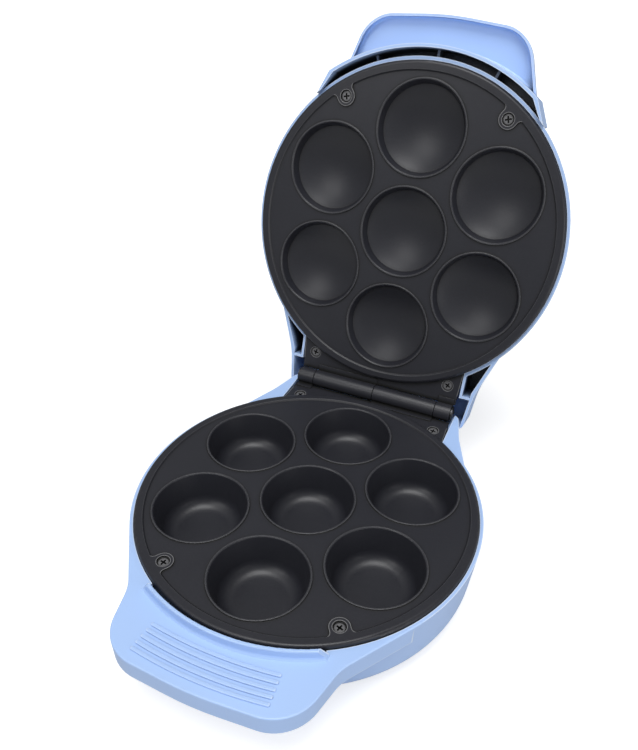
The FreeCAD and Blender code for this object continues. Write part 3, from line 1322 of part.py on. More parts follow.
def heat_shield(side):
    """Dished sheet of bright steel between heating tube and housing."""
    body = new_body(side + "_heat_shield")
    far = f"{side}_shield_depth"
    near = f"({far} - shield_thick)"
    edge = f"({far} - shield_rim)"
    inner = "shield_radius - shield_thick"
    turned(body, "dish", lowered(side, [
        ("shield_hole", near), (inner, near, "2"), (inner, edge),
        ("shield_radius", edge), ("shield_radius", far, "2.6"), ("shield_hole", far),
    ]))
    low, high = span(side, f"{near} - 1", f"{far} + 1")
    x, y = polar("shield_post_ring", "0")
    hole = disc(body, "screw_hole", x, y, "small_clear", low, high, True)
    around(body, "screw_holes", [hole], 3)
    low, high = span(side, f"{edge} - 1", f"{near} - 0.01")
    flank = "element_leg + notch_side"
    notch = [(flank, "shield_radius - notch_depth"), (flank, "shield_radius + 2")]
    prism(body, "lead_notch", mirrored_outline(notch), low, high, True)
    if side == "upper":
        swing_open(body)
    return body


# Thermostat, fuse, terminals and leads

def thermostat():
    """Snap-disc thermostat pressed to the floor of the middle cup."""
    body = new_body("thermostat")
    top = "lower_cup_under"
    cap_end = f"({top} + thermostat_cap)"
    end = f"({cap_end} + thermostat_body)"
    turned(body, "thermostat", lowered("lower", [
        ("0", top), ("thermostat_radius - 1", top, "0.8"), ("thermostat_radius - 1", f"{top} + 1.6"),
        ("thermostat_radius", f"{top} + 1.6"), ("thermostat_radius", cap_end),
        ("thermostat_radius - 1.4", cap_end), ("thermostat_radius - 1.4", end), ("0", end),
    ]))
    low, high = span("lower", f"{end} - 0.5", f"{end} + blade_length")
    blade = [("blade_x - 0.4", "-2"), ("blade_x + 0.4", "-2"), ("blade_x + 0.4", "2"), ("blade_x - 0.4", "2")]
    both_sides(body, "blades", [prism(body, "blade", blade, low, high)])
    return body


def thermostat_bracket():
    """Spring strip that holds the thermostat up, screwed to its pillar."""
    body = new_body("thermostat_bracket")
    low, high = span("lower", "strip_depth", "strip_depth + strip_thick")
    strip = [
        ("-(pillar_ring + bracket_half)", "-bracket_half", "3"), ("2", "-bracket_half"),
        ("2", "bracket_half"), ("-(pillar_ring + bracket_half)", "bracket_half", "3"),
    ]
    prism(body, "strip", strip, low, high)
    disc(body, "eye", "0", "0", "thermostat_radius + 2", low, high)
    low, high = f"{low} - 1", f"{high} + 1"
    disc(body, "eye_hole", "0", "0", "thermostat_radius - 1.3", low, high, True)
    disc(body, "screw_hole", "-pillar_ring", "0", "small_clear", low, high, True)
    return body


def thermal_fuse():
    """Sleeved thermal fuse in line with one thermostat lead."""
    body = new_body("thermal_fuse")
    start, end = "-(fuse_start + fuse_length)", "-fuse_start"
    disc(body, "fuse", "blade_x", "blade_level", "fuse_radius", start, end, plane="XZ")
    softened(body, "fuse_ends", "0.7", lambda edge: True)
    return body


def terminal_block():
    """Ceramic terminal block with three pairs of wire holes."""
    body = new_body("terminal_block")
    half = "block_length / 2"
    back = "(block_y + block_width / 2)"
    box = [(f"-{half}", "block_front"), (half, "block_front"), (half, back), (f"-{half}", back)]
    prism(body, "block", box, "floor_top", "floor_top + block_height")
    softened(body, "block_round", "1", lambda edge: edge.BoundBox.ZLength > 5)
    high = "floor_top + block_height + 1"
    for name, x in (("left", "-element_leg"), ("middle", "0"), ("right", "element_leg")):
        disc(body, name + "_well", x, "block_y", "block_well", "wire_level + 1", high, True)
    return body


def swept_lead(body, name, x, start_y, corners, radius):
    """A lead in an upright plane at x, along straight runs and bends."""
    path = sketch(body, name + "_path", "YZ", x)
    run(path, corners)
    section = sketch(body, name + "_section", "XZ", f"-({start_y})")
    circle(section, x, corners[0][1], radius)
    made = body.newObject("PartDesign::AdditivePipe", name)
    made.Profile = section
    made.Spine = (path, [""])
    return made


def run(drawing, corners):
    """An open line of straight runs with rounded corners."""
    points = [Vector(number(corner[0]), number(corner[1]), 0) for corner in corners]
    last = len(corners) - 1
    cuts = [(points[0], points[0], None)]
    for k in range(1, last):
        cuts.append(corner_cut(points[k - 1], points[k], points[k + 1], number(corners[k][2])))
    cuts.append((points[last], points[last], None))
    sides = [drawing.addGeometry(Part.LineSegment(cuts[k][1], cuts[k + 1][0]), False) for k in range(last)]
    rules = at(sides[0], 1, *corners[0][:2]) + at(sides[-1], 2, *corners[last][:2])
    for k in range(1, last):
        x, y, radius = corners[k]
        rules += rounded_corner(drawing, cuts[k], points[k], sides[k - 1], sides[k], x, y, radius)
    bind(drawing, rules)


def base_leads():
    """Leads from the heating tube and the thermostat to the terminal block."""
    body = new_body("base_leads")
    high = from_meeting("lower", "lower_element_depth")
    start = "element_end + pin_lead"
    bend = "lead_radius * 2.5"
    corners = [(start, high), (f"{start} + 4", high, bend), (f"{start} + 7.5", "wire_level", bend)]
    corners += [("block_front", "wire_level")]
    lead = swept_lead(body, "element_lead", "element_leg", start, corners, "lead_radius")
    both_sides(body, "element_leads", [lead])
    fuse_end = "fuse_start + fuse_length"
    for name, x, begin, end in (
        ("thermostat_lead", "-blade_x", "2", "block_front"),
        ("fuse_lead_front", "blade_x", "2", "fuse_start"),
        ("fuse_lead_back", "blade_x", fuse_end, "block_front"),
    ):
        disc(body, name, x, "blade_level", "lead_radius", f"-({end})", f"-({begin})", plane="XZ")
    return body


def lid_leads():
    """Leads of the upper heating tube and of the lamps, up to the lead clamp."""
    body = new_body("lid_leads")
    level = from_meeting("upper", "upper_element_depth")
    start, end = "element_end + pin_lead", "lead_clamp_y + 5"
    thin = "(lead_radius * 0.65)"
    back, front = f"-({end})", f"-({start})"
    lead = disc(body, "element_lead", "element_leg", level, "lead_radius", back, front, plane="XZ")
    high = f"(lid_shield + {thin} + 0.3)"
    low = f"({level} + lead_radius + {thin} + 0.2)"
    begin = "-(lamp_y - 2.4)"
    bend = "lead_radius * 3.4"
    corners = [(begin, high), ("shield_radius + 2.5", high, bend), ("shield_radius + 10.5", low, bend)]
    corners.append((end, low))
    lamp = swept_lead(body, "lamp_lead", "lamp_x", begin, corners, thin)
    both_sides(body, "pairs", [lead, lamp])
    swing_open(body)
    return body


def lid_lead_clamp():
    """Bar that holds the lid's leads before they cross the hinge."""
    body = new_body("lid_lead_clamp")
    half = [("lead_clamp_x + 4", "lead_clamp_y - 3.5", "2"), ("lead_clamp_x + 4", "lead_clamp_y + 3.5", "2")]
    prism(body, "bar", mirrored_outline(half), "lead_clamp_level - lead_clamp_thick", "lead_clamp_level")
    hole = disc(body, "hole", "lead_clamp_x", "lead_clamp_y", "small_clear",
                "lead_clamp_level - lead_clamp_thick - 1", "lead_clamp_level + 1", True)
    both_sides(body, "holes", [hole])
    swing_open(body)
    return body


def check_and_write(bodies):
    """Stops on any failed object, then writes one STEP file for each sub-part."""
    doc.recompute()
    bad = [item.Name for item in doc.Objects if "Invalid" in item.State or "Error" in item.State]
    for item in bodies:
        shape = item.Shape
        if shape.isNull() or not shape.isValid():
            bad.append(item.Label)
    if bad:
        raise RuntimeError("failed: " + ", ".join(bad))
    os.makedirs("parts", exist_ok=True)
    for item in bodies:
        item.Shape.exportStep(f"parts/{item.Label}.step")
        shape = item.Shape
        print(f"{item.Label}: {len(shape.Solids)} solids, {shape.Volume / 1000:.1f} cm3")


bodies = [base_housing(), lid_housing(), plate("lower"), plate("upper")]
swing_open(bodies[3])
bodies += [hinge_pin(), hinge_pin_clips()]
for end, sign in (("front", "-"), ("rear", "")):
    for hand, mirror in (("left", "-"), ("right", "")):
        bodies.append(foot(f"{end}_{hand}", f"{mirror}{end}_foot_x", f"{sign}{end}_foot_y"))
for side in ("lower", "upper"):
    bodies += [plate_screws(side), heating_element(side), heat_shield(side)]
    bodies += [element_clamp(side, k) for k in range(3)]
    bodies += [clamp_screws(side), shield_screws(side)]
bodies += lamp_pair("power", "-lamp_x") + lamp_pair("ready", "lamp_x")
bodies += [thermostat(), thermostat_bracket(), thermal_fuse(), terminal_block()]
bodies += [base_leads(), lid_leads(), lid_lead_clamp()]
check_and_write(bodies)
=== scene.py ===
# %% [markdown]
# A seven-cup cupcake maker stands open on a table. Its casing is moulded in light-blue plastic, its
# two baking plates are cast and coated black, and a hinge pin joins them at the back. The packed
# model already holds every shape, so this lesson loads it, measures it and never moves it. It then
# adds what a camera sees: the finish of each surface, the light, and the small turned parts.

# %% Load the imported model
import json
import math

import bmesh
import bpy
from mathutils import Matrix, Vector


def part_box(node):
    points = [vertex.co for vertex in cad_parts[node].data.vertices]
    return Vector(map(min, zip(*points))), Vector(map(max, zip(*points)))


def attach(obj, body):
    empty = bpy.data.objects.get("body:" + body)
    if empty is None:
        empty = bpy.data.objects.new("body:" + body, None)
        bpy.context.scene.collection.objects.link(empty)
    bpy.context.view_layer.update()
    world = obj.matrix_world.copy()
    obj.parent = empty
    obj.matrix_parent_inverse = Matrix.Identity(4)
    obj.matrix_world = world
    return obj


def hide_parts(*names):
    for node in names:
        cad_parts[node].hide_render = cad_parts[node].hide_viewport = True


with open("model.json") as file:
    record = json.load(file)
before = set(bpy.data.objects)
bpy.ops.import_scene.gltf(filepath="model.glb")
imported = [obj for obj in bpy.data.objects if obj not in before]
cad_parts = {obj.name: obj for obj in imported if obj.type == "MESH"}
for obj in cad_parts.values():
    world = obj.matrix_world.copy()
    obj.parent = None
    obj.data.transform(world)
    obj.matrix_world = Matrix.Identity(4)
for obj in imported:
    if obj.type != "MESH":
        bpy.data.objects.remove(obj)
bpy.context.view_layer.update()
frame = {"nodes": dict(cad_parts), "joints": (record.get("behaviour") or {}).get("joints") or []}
nodes = frame["nodes"]
MM = 0.001
joint = frame["joints"][0]
upright = Vector((0, 0, 1))
opened = Matrix.Rotation(math.radians(-joint["range_deg"][1]), 3, "X") @ upright
lines = {"lower": upright, "upper": opened}

# %% [markdown]
# The camera comes first, because everything else is judged through it. The photograph was taken
# from the front right, at arm's length and looking well down, with the camera tilted a little. A
# view is three turns: round to the side, down towards the table, and a roll about the line of
# sight. The frame's middle isn't on that line, so the lens is shifted, as on a view camera.

# %% Camera at the photograph's angle
CAMERA_PLACE = (0.12048, -0.264071, 0.341863)
YAW, DOWN, ROLL = (math.radians(angle) for angle in (-21.677, 39.077, 1.717))

camera_data = bpy.data.cameras.new("camera")
camera_data.lens = 34.749
camera_data.shift_x = -0.0226
camera_data.shift_y = 0.0556
camera_data.clip_start = 0.01
camera = bpy.data.objects.new("camera", camera_data)
bpy.context.scene.collection.objects.link(camera)
turns = Matrix.Rotation(-YAW, 4, "Z") @ Matrix.Rotation(math.pi / 2 - DOWN, 4, "X") @ Matrix.Rotation(ROLL, 4, "Z")
camera.matrix_world = Matrix.Translation(CAMERA_PLACE) @ turns
bpy.context.scene.camera = camera
print("camera", [round(value, 3) for value in camera.matrix_world.translation])

# %% [markdown]
# Every finish below is a small sum of noises, masks and ramps. Written as nodes and links such a
# sum is long and hard to read, so one class wraps a socket and gives it Python's operators: a line
# like 1 - mask * 0.3 adds its Math nodes by itself. One method adds any other node. Its settings go
# in before its sockets, because they decide which sockets the node has.

# %% Shader maths as Python expressions
class Flow:
    """The value that leaves one socket of a material's node tree."""

    def __init__(self, socket):
        self.socket = socket

    def node(self, kind, settings=None, values=None, output=0):
        tree = self.socket.id_data
        made = tree.nodes.new(kind)
        for name, setting in (settings or {}).items():
            if name == "stops":
                lay_stops(made.color_ramp.elements, setting)
            else:
                setattr(made, name, setting)
        for name, value in (values or {}).items():
            if isinstance(value, Flow):
                tree.links.new(value.socket, made.inputs[name])
            else:
                made.inputs[name].default_value = value
        return Flow(made.outputs[output])

    def math(self, operation, first, second=0.0):
        return self.node("ShaderNodeMath", {"operation": operation}, {0: first, 1: second})

    def vector(self, operation, second=(0.0, 0.0, 0.0), output=0):
        return self.node("ShaderNodeVectorMath", {"operation": operation}, {0: self, 1: second}, output)

    def __add__(self, other):
        return self.math("ADD", self, other)

    def __sub__(self, other):
        return self.math("SUBTRACT", self, other)

    def __rsub__(self, other):
        return self.math("SUBTRACT", other, self)

    def __mul__(self, other):
        return self.math("MULTIPLY", self, other)

    def __gt__(self, other):
        return self.math("GREATER_THAN", self, other)

    __radd__ = __add__
    __rmul__ = __mul__


def lay_stops(elements, stops):
    """Puts a colour ramp's stops: (place, grey) or (place, colour)."""
    for index, (place, shade) in enumerate(stops):
        stop = elements[index] if index < 2 else elements.new(place)
        stop.position = place
        stop.color = (shade, shade, shade, 1) if isinstance(shade, (int, float)) else (*shade, 1)


print("shader maths ready")

# %% [markdown]
# A material starts from the Object coordinates, in metres, because every piece's object sits at the
# origin: a pattern then keeps its real size and stays on the piece when the lid turns. Noise gives
# grain and clouding, and a Bump node turns a height into small tilts of the surface. What is the
# same all over goes straight on the shader's socket, and only what changes is linked.

# %% Tools that the finishes share
def start_finish(name, **constants):
    """A new material: its shader, and the place on the piece to start a pattern from."""
    material = bpy.data.materials.new(name)
    material.use_nodes = True
    tree = material.node_tree
    tree.nodes.clear()
    output = tree.nodes.new("ShaderNodeOutputMaterial")
    shader = tree.nodes.new("ShaderNodeBsdfPrincipled")
    tree.links.new(shader.outputs[0], output.inputs["Surface"])
    for socket, value in constants.items():
        shader.inputs[socket.replace("_", " ")].default_value = value
    place = Flow(tree.nodes.new("ShaderNodeTexCoord").outputs["Object"])
    return material, shader, place


def feed(shader, **values):
    for name, value in values.items():
        shader.id_data.links.new(value.socket, shader.inputs[name.replace("_", " ")])


def noise(place, size, detail=2.0, rough=0.5):
    """Noise between 0 and 1, with blots of about the given size in metres."""
    return place.node("ShaderNodeTexNoise", None, {"Vector": place, "Scale": 1 / size, "Detail": detail, "Roughness": rough})


def stretched(place, x=1.0, y=1.0, z=1.0):
    """The same place with its axes scaled, for streaks and brush lines."""
    return place.node("ShaderNodeMapping", None, {"Vector": place, "Scale": (x, y, z)})


def bumped(height, depth, before=None, strength=1.0):
    """A height map between 0 and 1, raised by a depth in metres."""
    values = {"Height": height, "Distance": depth, "Strength": strength}
    if before:
        values["Normal"] = before
    return height.node("ShaderNodeBump", None, values)


def ramp(value, *stops):
    return value.node("ShaderNodeValToRGB", {"stops": stops}, {0: value})


def soft_edges(place, radius):
    """The surface's direction, averaged round each point, so that hard edges shade as if rounded."""
    return place.node("ShaderNodeBevel", {"samples": 6}, {"Radius": radius})


def open_air(place, reach, inside=False, alone=True):
    """1 on a free surface and 0 deep in a corner; inside, 1 on a flat and less along a sharp edge."""
    settings = {"samples": 12, "inside": inside, "only_local": alone}
    return place.node("ShaderNodeAmbientOcclusion", settings, {"Distance": reach}, output="AO")


def mixed(mask, first, second):
    """Two colours by a mask; each is a Flow or plain numbers."""
    colours = [colour if isinstance(colour, Flow) else (*colour, 1) for colour in (first, second)]
    return mask.node("ShaderNodeMix", {"data_type": "RGBA"}, {0: mask, 6: colours[0], 7: colours[1]}, output=2)


def coat(material, *names):
    """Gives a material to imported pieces."""
    for name in names:
        mesh = nodes[name].data
        mesh.materials.clear()
        mesh.materials.append(material)
    print(material.name, "on", ", ".join(names))


# %% [markdown]
# The casing is injection-moulded plastic with the satin skin of a spark-eroded mould: at a few
# centimetres the grain is a tenth of a millimetre wide and shows only in how it softens the
# highlight. Two noises make it. Wide, faint clouds in colour and gloss stand for the way the
# plastic flowed and cooled, and keep large faces from looking painted by a computer. Ambient
# Occlusion nodes measure how open a point is. Deep in the lid's slot and neck they paint the
# plastic near black, a painted shade where hardly any light gets in; in the creases beside steps
# and ridges they paint a darker blue, a painted shade; and looking inside the wall they find the
# sharp edges and give them a pale painted highlight.

# %% Light-blue casing
def moulded_plastic(name, colour, roughness=0.36, grain=0.00035, grain_depth=0.000012):
    material, shader, place = start_finish(name, IOR=1.5)
    fine = noise(place, grain, 3)
    clouds = noise(place, 0.045, 2)
    pale = tuple(min(1, value * 1.03) for value in colour)
    deep = tuple(value * 0.97 for value in colour)
    # Painted highlight: sharp edges, found by looking inside the wall, are painted pale blue-white.
    edge_highlight = ramp(open_air(place, 0.0009, inside=True), (0.55, 1.0), (0.85, 0.0))
    # Painted shade: creases, where the surface is closed in, are painted a darker blue.
    crease_shade = ramp(open_air(place, 0.0016), (0.30, 1.0), (0.80, 0.0))
    # Painted shade: deep pockets such as the lid's slot and neck are painted near black.
    pocket_shade = ramp(open_air(place, 0.022), (0.10, 1.0), (0.42, 0.0))
    # The skin colour takes the pale painted highlight on edges, then the darker blue painted shade in creases.
    skin = mixed(edge_highlight * 0.7, mixed(clouds, deep, pale), (0.80, 0.87, 0.97))
    skin = mixed(crease_shade * 0.75, skin, (0.17, 0.27, 0.50))
    feed(
        shader,
        Base_Color=mixed(pocket_shade, skin, (0.012, 0.014, 0.022)),
        Roughness=roughness + (clouds - 0.5) * 0.06 + (fine - 0.5) * 0.08,
        Normal=bumped(noise(place, 0.006, 1), 0.00001, bumped(fine, grain_depth)),
    )
    return material


casing_blue = moulded_plastic("light_blue_plastic", (0.42, 0.595, 0.94))
coat(casing_blue, "base_housing", "lid_housing")

# %% [markdown]
# The plates are die-cast aluminium, sprayed with a black non-stick coating and baked. The spray
# leaves a fine orange peel, tiny matt specks, and a slight sheen that spreads every highlight wide.
# Voronoi cells make the specks, and two noises make the peel. The beads round the cups and domes
# get a pale painted highlight, and the creases beside them a near-black painted shade. Both are
# found by how open the surface is there.

# %% Black non-stick plates
hinge_line = tuple(joint["pos_m"])


def hollow_middles(name):
    """Middles of a plate's hollows, where a fan of many triangles meets, its reach and the sphere's radius."""
    mesh = bmesh.new()
    mesh.from_mesh(nodes[name].data)
    bmesh.ops.remove_doubles(mesh, verts=mesh.verts, dist=0.00001)
    tops = []
    for corner in mesh.verts:
        if len(corner.link_edges) > 50 and corner.normal.dot(-lines["upper"]) > 0.99:
            spoke = corner.link_edges[0].other_vert(corner).co - corner.co
            tops.append(tuple(corner.co))
            reach, curve = spoke.length, spoke.length_squared / 2 / spoke.dot(corner.normal)
    mesh.free()
    print(len(tops), "hollows, fan", round(reach / MM, 2), "mm, sphere radius", round(curve / MM, 1), "mm")
    return tops, reach, curve


def rounded_middles(place, before, tops, reach, curve):
    """Near each hollow's middle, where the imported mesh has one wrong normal, the sphere's own direction."""
    near, lean = 0, place.vector("MULTIPLY")
    for top in tops:
        away = place.vector("SUBTRACT", top)
        inside = 1 - (away.vector("LENGTH", output="Value") > reach * 1.02)
        near, lean = near + inside, lean.vector("ADD", away.vector("MULTIPLY", inside))
    up = lean.vector("MULTIPLY", (-1 / curve,) * 3).vector("ADD", tuple(-lines["upper"]))
    turn = {"vector_type": "NORMAL", "convert_from": "OBJECT", "convert_to": "WORLD"}
    up = up.node("ShaderNodeVectorTransform", turn, {"Vector": up})
    return near.node("ShaderNodeMix", {"data_type": "VECTOR"}, {0: near, 4: before, 5: up}, output=1)


def non_stick(name):
    material, shader, place = start_finish(name, IOR=1.46)
    peel = noise(place, 0.0011, 2)
    sand = noise(place, 0.00028, 2)
    specks = place.node(
        "ShaderNodeTexVoronoi", {"feature": "F1"}, {"Vector": place, "Scale": 1 / 0.0019}, output="Distance"
    )
    dust = ramp(specks, (0.0, 1.0), (0.16, 0.0))
    clouds = noise(place, 0.03, 2)
    tone = mixed(clouds * 0.5 + peel * 0.5, (0.0150, 0.0157, 0.0210), (0.0250, 0.0258, 0.0330))
    # Painted shade: creases beside the beads, steps and screw heads are painted near black.
    crease_shade = ramp(open_air(place, 0.0030, alone=False), (0.62, 1.0), (0.985, 0.0))
    off_hinge = place.vector("SUBTRACT", hinge_line).vector("MULTIPLY", (0, 1, 1)).vector("LENGTH", output="Value")
    # Painted highlight: the beads round the cups and domes are painted pale grey, except near the hinge.
    wear_and_highlight = ramp(open_air(place, 0.0007, inside=True), (0.55, 1.0), (0.90, 0.0)) * (off_hinge > 0.012)
    coating = mixed(dust * 0.35, tone, (0.050, 0.050, 0.054))
    # The coating colour takes the pale painted highlight along the beads.
    coating = mixed(wear_and_highlight * 0.85, coating, (0.30, 0.30, 0.31))
    facing = rounded_middles(place, soft_edges(place, 0.0004), *hollow_middles("upper_plate"))
    feed(
        shader,
        Base_Color=mixed(crease_shade, coating, (0.001, 0.001, 0.001)),
        Roughness=0.38 + (peel - 0.5) * 0.10 + (clouds - 0.5) * 0.05 - wear_and_highlight * 0.04 + crease_shade * 0.25,
        Normal=bumped(sand, 0.00001, bumped(peel, 0.00002, facing)),
    )
    return material


coat(non_stick("black_non_stick"), "lower_plate", "upper_plate")

# %% [markdown]
# Inside and underneath there are a dozen metals and plastics. Most metals differ in three things
# only: their colour, how fine their surface lines are and which way they run, so one function
# serves them all. Drawn wire and tube have lines along their length, and sheet has them along the
# direction it was rolled in.

# %% Drawn, rolled and plated metals
def worked_metal(name, colour, stain, roughness=0.3, lines=(1, 1, 1), grain=0.0004, metallic=1.0):
    material, shader, place = start_finish(name, Metallic=metallic, IOR=1.5)
    streaks = noise(stretched(place, *lines), grain, 3)
    blots = noise(place, 0.009, 3, 0.6)
    wear_and_highlight = ramp(blots, (0.42, 0.0), (0.68, 1.0))
    feed(
        shader,
        Base_Color=mixed(wear_and_highlight * 0.6 + streaks * 0.2, colour, stain),
        Roughness=roughness + (streaks - 0.5) * 0.14 + wear_and_highlight * 0.08,
        Normal=bumped(streaks, 0.000012),
    )
    return material


PLATE_SCREWS = ("lower_plate_screws", "upper_plate_screws")
SMALL_SCREWS = ("lower_clamp_screws", "upper_clamp_screws", "lower_shield_screws", "upper_shield_screws")

pin_steel = worked_metal("pin_steel", (0.07, 0.07, 0.075), (0.05, 0.05, 0.05), 0.38, (0.04, 1, 1))
clip_steel = worked_metal("clip_steel", (0.07, 0.07, 0.075), (0.05, 0.05, 0.05), 0.38)
element_steel = worked_metal("element_steel", (0.42, 0.39, 0.36), (0.24, 0.17, 0.13), 0.38)
clamp_steel = worked_metal("clamp_steel", (0.60, 0.60, 0.59), (0.46, 0.45, 0.43), 0.33, (0.1, 1, 1))
bracket_steel = worked_metal("bracket_steel", (0.58, 0.58, 0.58), (0.47, 0.46, 0.45), 0.31, (1, 0.1, 1))
zinc_screw = worked_metal("small_screw_steel", (0.63, 0.63, 0.66), (0.52, 0.51, 0.50), 0.27)


def blackened_screw(name):
    material, shader, place = start_finish(name, Metallic=0.3)
    pits, blots = noise(place, 0.0004, 3), noise(place, 0.003, 2)
    # Painted shade: the gap round each head and the cross's recess are painted near black.
    gap_shade = ramp(open_air(place, 0.0020, alone=False), (0.60, 1.0), (0.92, 0.0))
    steel = mixed(blots * 0.6 + pits * 0.4, (0.13, 0.13, 0.138), (0.21, 0.21, 0.218))
    feed(
        shader,
        Base_Color=mixed(gap_shade, steel, (0.003, 0.003, 0.003)),
        Roughness=0.34 + (pits - 0.5) * 0.16,
        Normal=bumped(pits, 0.000012),
    )
    return material


black_screw = blackened_screw("dark_screw_steel")

coat(pin_steel, "hinge_pin")
coat(clip_steel, "hinge_pin_clips")
coat(element_steel, "lower_heating_element", "upper_heating_element")
coat(clamp_steel, *(f"{side}_element_clamp_{place}" for side in ("lower", "upper") for place in (1, 2, 3)))
coat(bracket_steel, "thermostat_bracket")
coat(black_screw, *PLATE_SCREWS)
coat(zinc_screw, *SMALL_SCREWS)

# %% [markdown]
# The heat shields are pressed from hot-dip coated sheet. Its coating freezes into spangle, flat
# crystals a few millimetres wide that each catch the light in their own way. Voronoi cells with a
# random grey in each are that pattern, and the grey drives both tone and gloss.

# %% Spangled heat shields
def spangled_sheet(name):
    material, shader, place = start_finish(name, Metallic=1.0)
    bent = place.node(
        "ShaderNodeVectorMath", {"operation": "ADD"}, {0: place, 1: stretched(noise(place, 0.004), 0.002, 0.002, 0.002)}
    )
    crystals = bent.node("ShaderNodeTexVoronoi", None, {"Vector": bent, "Scale": 1 / 0.005}, output="Color")
    grey = crystals.node("ShaderNodeSeparateColor", None, {0: crystals})
    feed(
        shader,
        Base_Color=mixed(grey, (0.55, 0.56, 0.58), (0.72, 0.72, 0.73)),
        Roughness=0.24 + grey * 0.2,
        Normal=bumped(noise(place, 0.0006, 2), 0.000008),
    )
    return material


coat(spangled_sheet("shield_steel"), "lower_heat_shield", "upper_heat_shield")

# %% [markdown]
# Rubber, nylon, silicone and ceramic have no metal in them, and differ in colour, gloss and how
# coarse their skin is. Again one function serves them all, with dust that settles in the hollows of
# the grain on the softer ones.

# %% Rubber, silicone, nylon and ceramic
def plain_skin(name, colour, dusty, roughness, grain, depth, cover=0.4):
    material, shader, place = start_finish(name, IOR=1.48)
    skin = noise(place, grain, 3)
    clouds = noise(place, 0.012, 3)
    feed(
        shader,
        Base_Color=mixed(ramp(skin * 0.5 + clouds * 0.5, (0.45, 0.0), (0.75, 1.0)) * cover, colour, dusty),
        Roughness=roughness + (skin - 0.5) * 0.12,
        Normal=bumped(skin, depth),
    )
    return material


rubber = plain_skin("foot_rubber", (0.028, 0.028, 0.030), (0.07, 0.07, 0.072), 0.72, 0.0006, 0.00003)
silicone = plain_skin("lead_silicone", (0.80, 0.79, 0.76), (0.70, 0.69, 0.66), 0.52, 0.0008, 0.00001)
ceramic = plain_skin("terminal_ceramic", (0.82, 0.80, 0.75), (0.70, 0.68, 0.62), 0.30, 0.0004, 0.00001)
nylon = plain_skin("clamp_nylon", (0.10, 0.10, 0.11), (0.07, 0.07, 0.075), 0.45, 0.0005, 0.00001)

coat(rubber, *(f"foot_{end}_{side}" for end in ("front", "rear") for side in ("left", "right")))
coat(silicone, "base_leads", "lid_leads")
coat(ceramic, "terminal_block")
coat(nylon, "lid_lead_clamp")

# %% [markdown]
# A thermal fuse sits in a woven glass-fibre sleeve, because it lies against hot metal. Two sets of
# fine bands, one across the sleeve and one along it, multiply into a weave.

# %% Woven fuse sleeve
def woven_sleeve(name):
    material, shader, place = start_finish(name, Sheen_Weight=0.2, Sheen_Roughness=0.5)
    across = place.node(
        "ShaderNodeTexWave", {"wave_type": "BANDS", "bands_direction": "X"},
        {"Vector": place, "Scale": 1 / 0.0045, "Distortion": 0.6}, output="Fac",
    )
    along = place.node(
        "ShaderNodeTexWave", {"wave_type": "BANDS", "bands_direction": "DIAGONAL"},
        {"Vector": place, "Scale": 1 / 0.0045, "Distortion": 0.6}, output="Fac",
    )
    weave = across * along
    feed(
        shader,
        Base_Color=mixed(weave, (0.50, 0.44, 0.33), (0.80, 0.76, 0.66)),
        Roughness=0.85 - weave * 0.2,
        Normal=bumped(weave, 0.00012),
    )
    return material


coat(woven_sleeve("fuse_sleeve"), "thermal_fuse")

# %% [markdown]
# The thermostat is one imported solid: a bright metal cap at one end and a ceramic body at the other.
# A height on the piece tells them apart, so the mask is a comparison on the Z coordinate and feeds
# the metallic, colour and roughness sockets together.

# %% Thermostat, part metal and part ceramic
def capped_ceramic(name, cap_height):
    material, shader, place = start_finish(name)
    height = place.node("ShaderNodeSeparateXYZ", None, {0: place}, output="Z")
    cap = height > cap_height
    skin = noise(place, 0.0005, 2)
    feed(
        shader,
        Base_Color=mixed(cap, (0.78, 0.74, 0.66), (0.66, 0.66, 0.66)),
        Metallic=cap,
        Roughness=0.42 - cap * 0.14 + (skin - 0.5) * 0.1,
        Normal=bumped(skin, 0.00001),
    )
    return material


low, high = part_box("thermostat")
coat(capped_ceramic("thermostat_ceramic", high[2] - 0.35 * (high[2] - low[2])), "thermostat")

# %% [markdown]
# Two lamps show that the plates are live and that they are hot. Each is a coloured lens, clear
# plastic that is dyed through, over a small glass bulb. The lens is thick and slightly cloudy, so
# it passes light but doesn't show the lamp as a window would.

# %% Lenses and lamps
def dyed_lens(name, colour, transmission, roughness):
    material, shader, place = start_finish(name, Transmission_Weight=transmission, IOR=1.49)
    cloud = noise(place, 0.0012, 2)
    feed(
        shader,
        Base_Color=mixed(cloud, tuple(value * 0.9 for value in colour), colour),
        Roughness=roughness + (cloud - 0.5) * 0.06,
        Normal=bumped(cloud, 0.00002),
    )
    return material


coat(dyed_lens("red_lens", (0.72, 0.045, 0.035), 0.45, 0.14), "power_lamp_lens")
coat(dyed_lens("green_lens", (0.05, 0.50, 0.13), 0.45, 0.14), "ready_lamp_lens")
coat(dyed_lens("lamp_glass", (0.90, 0.88, 0.84), 0.90, 0.04), "power_lamp", "ready_lamp")

# %% [markdown]
# Twenty-nine screws hold this appliance together, of two kinds: black countersunk ones through the
# plates, and small bright ones with pan heads inside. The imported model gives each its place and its
# radii but only a plain shank. A turned blank with a pressed cross and a rolled thread is worth its
# faces here, because a screw is what the eye checks first for scale. The blank is made once for each
# kind, in mesh code, and Geometry Nodes set a copy at each place.

# %% A screw blank: rings, a cross and a thread
RING = 32


def ring_of(mesh, radius, height, count=RING):
    steps = (math.tau * k / count for k in range(count))
    return [mesh.verts.new((radius * math.cos(turn), radius * math.sin(turn), height)) for turn in steps]


def skinned(mesh, upper, lower):
    for k in range(len(upper)):
        after = (k + 1) % len(upper)
        mesh.faces.new((upper[k], lower[k], lower[after], upper[after]))


def cross_ring(mesh, reach, half, height):
    """The twelve corners of a cross, counted the way that the rings are."""
    arm = [(reach, -half), (reach, half), (half, half)]
    corners = []
    for _ in range(4):
        corners += arm
        arm = [(-y, x) for x, y in arm]
    return [mesh.verts.new((x, y, height)) for x, y in corners]


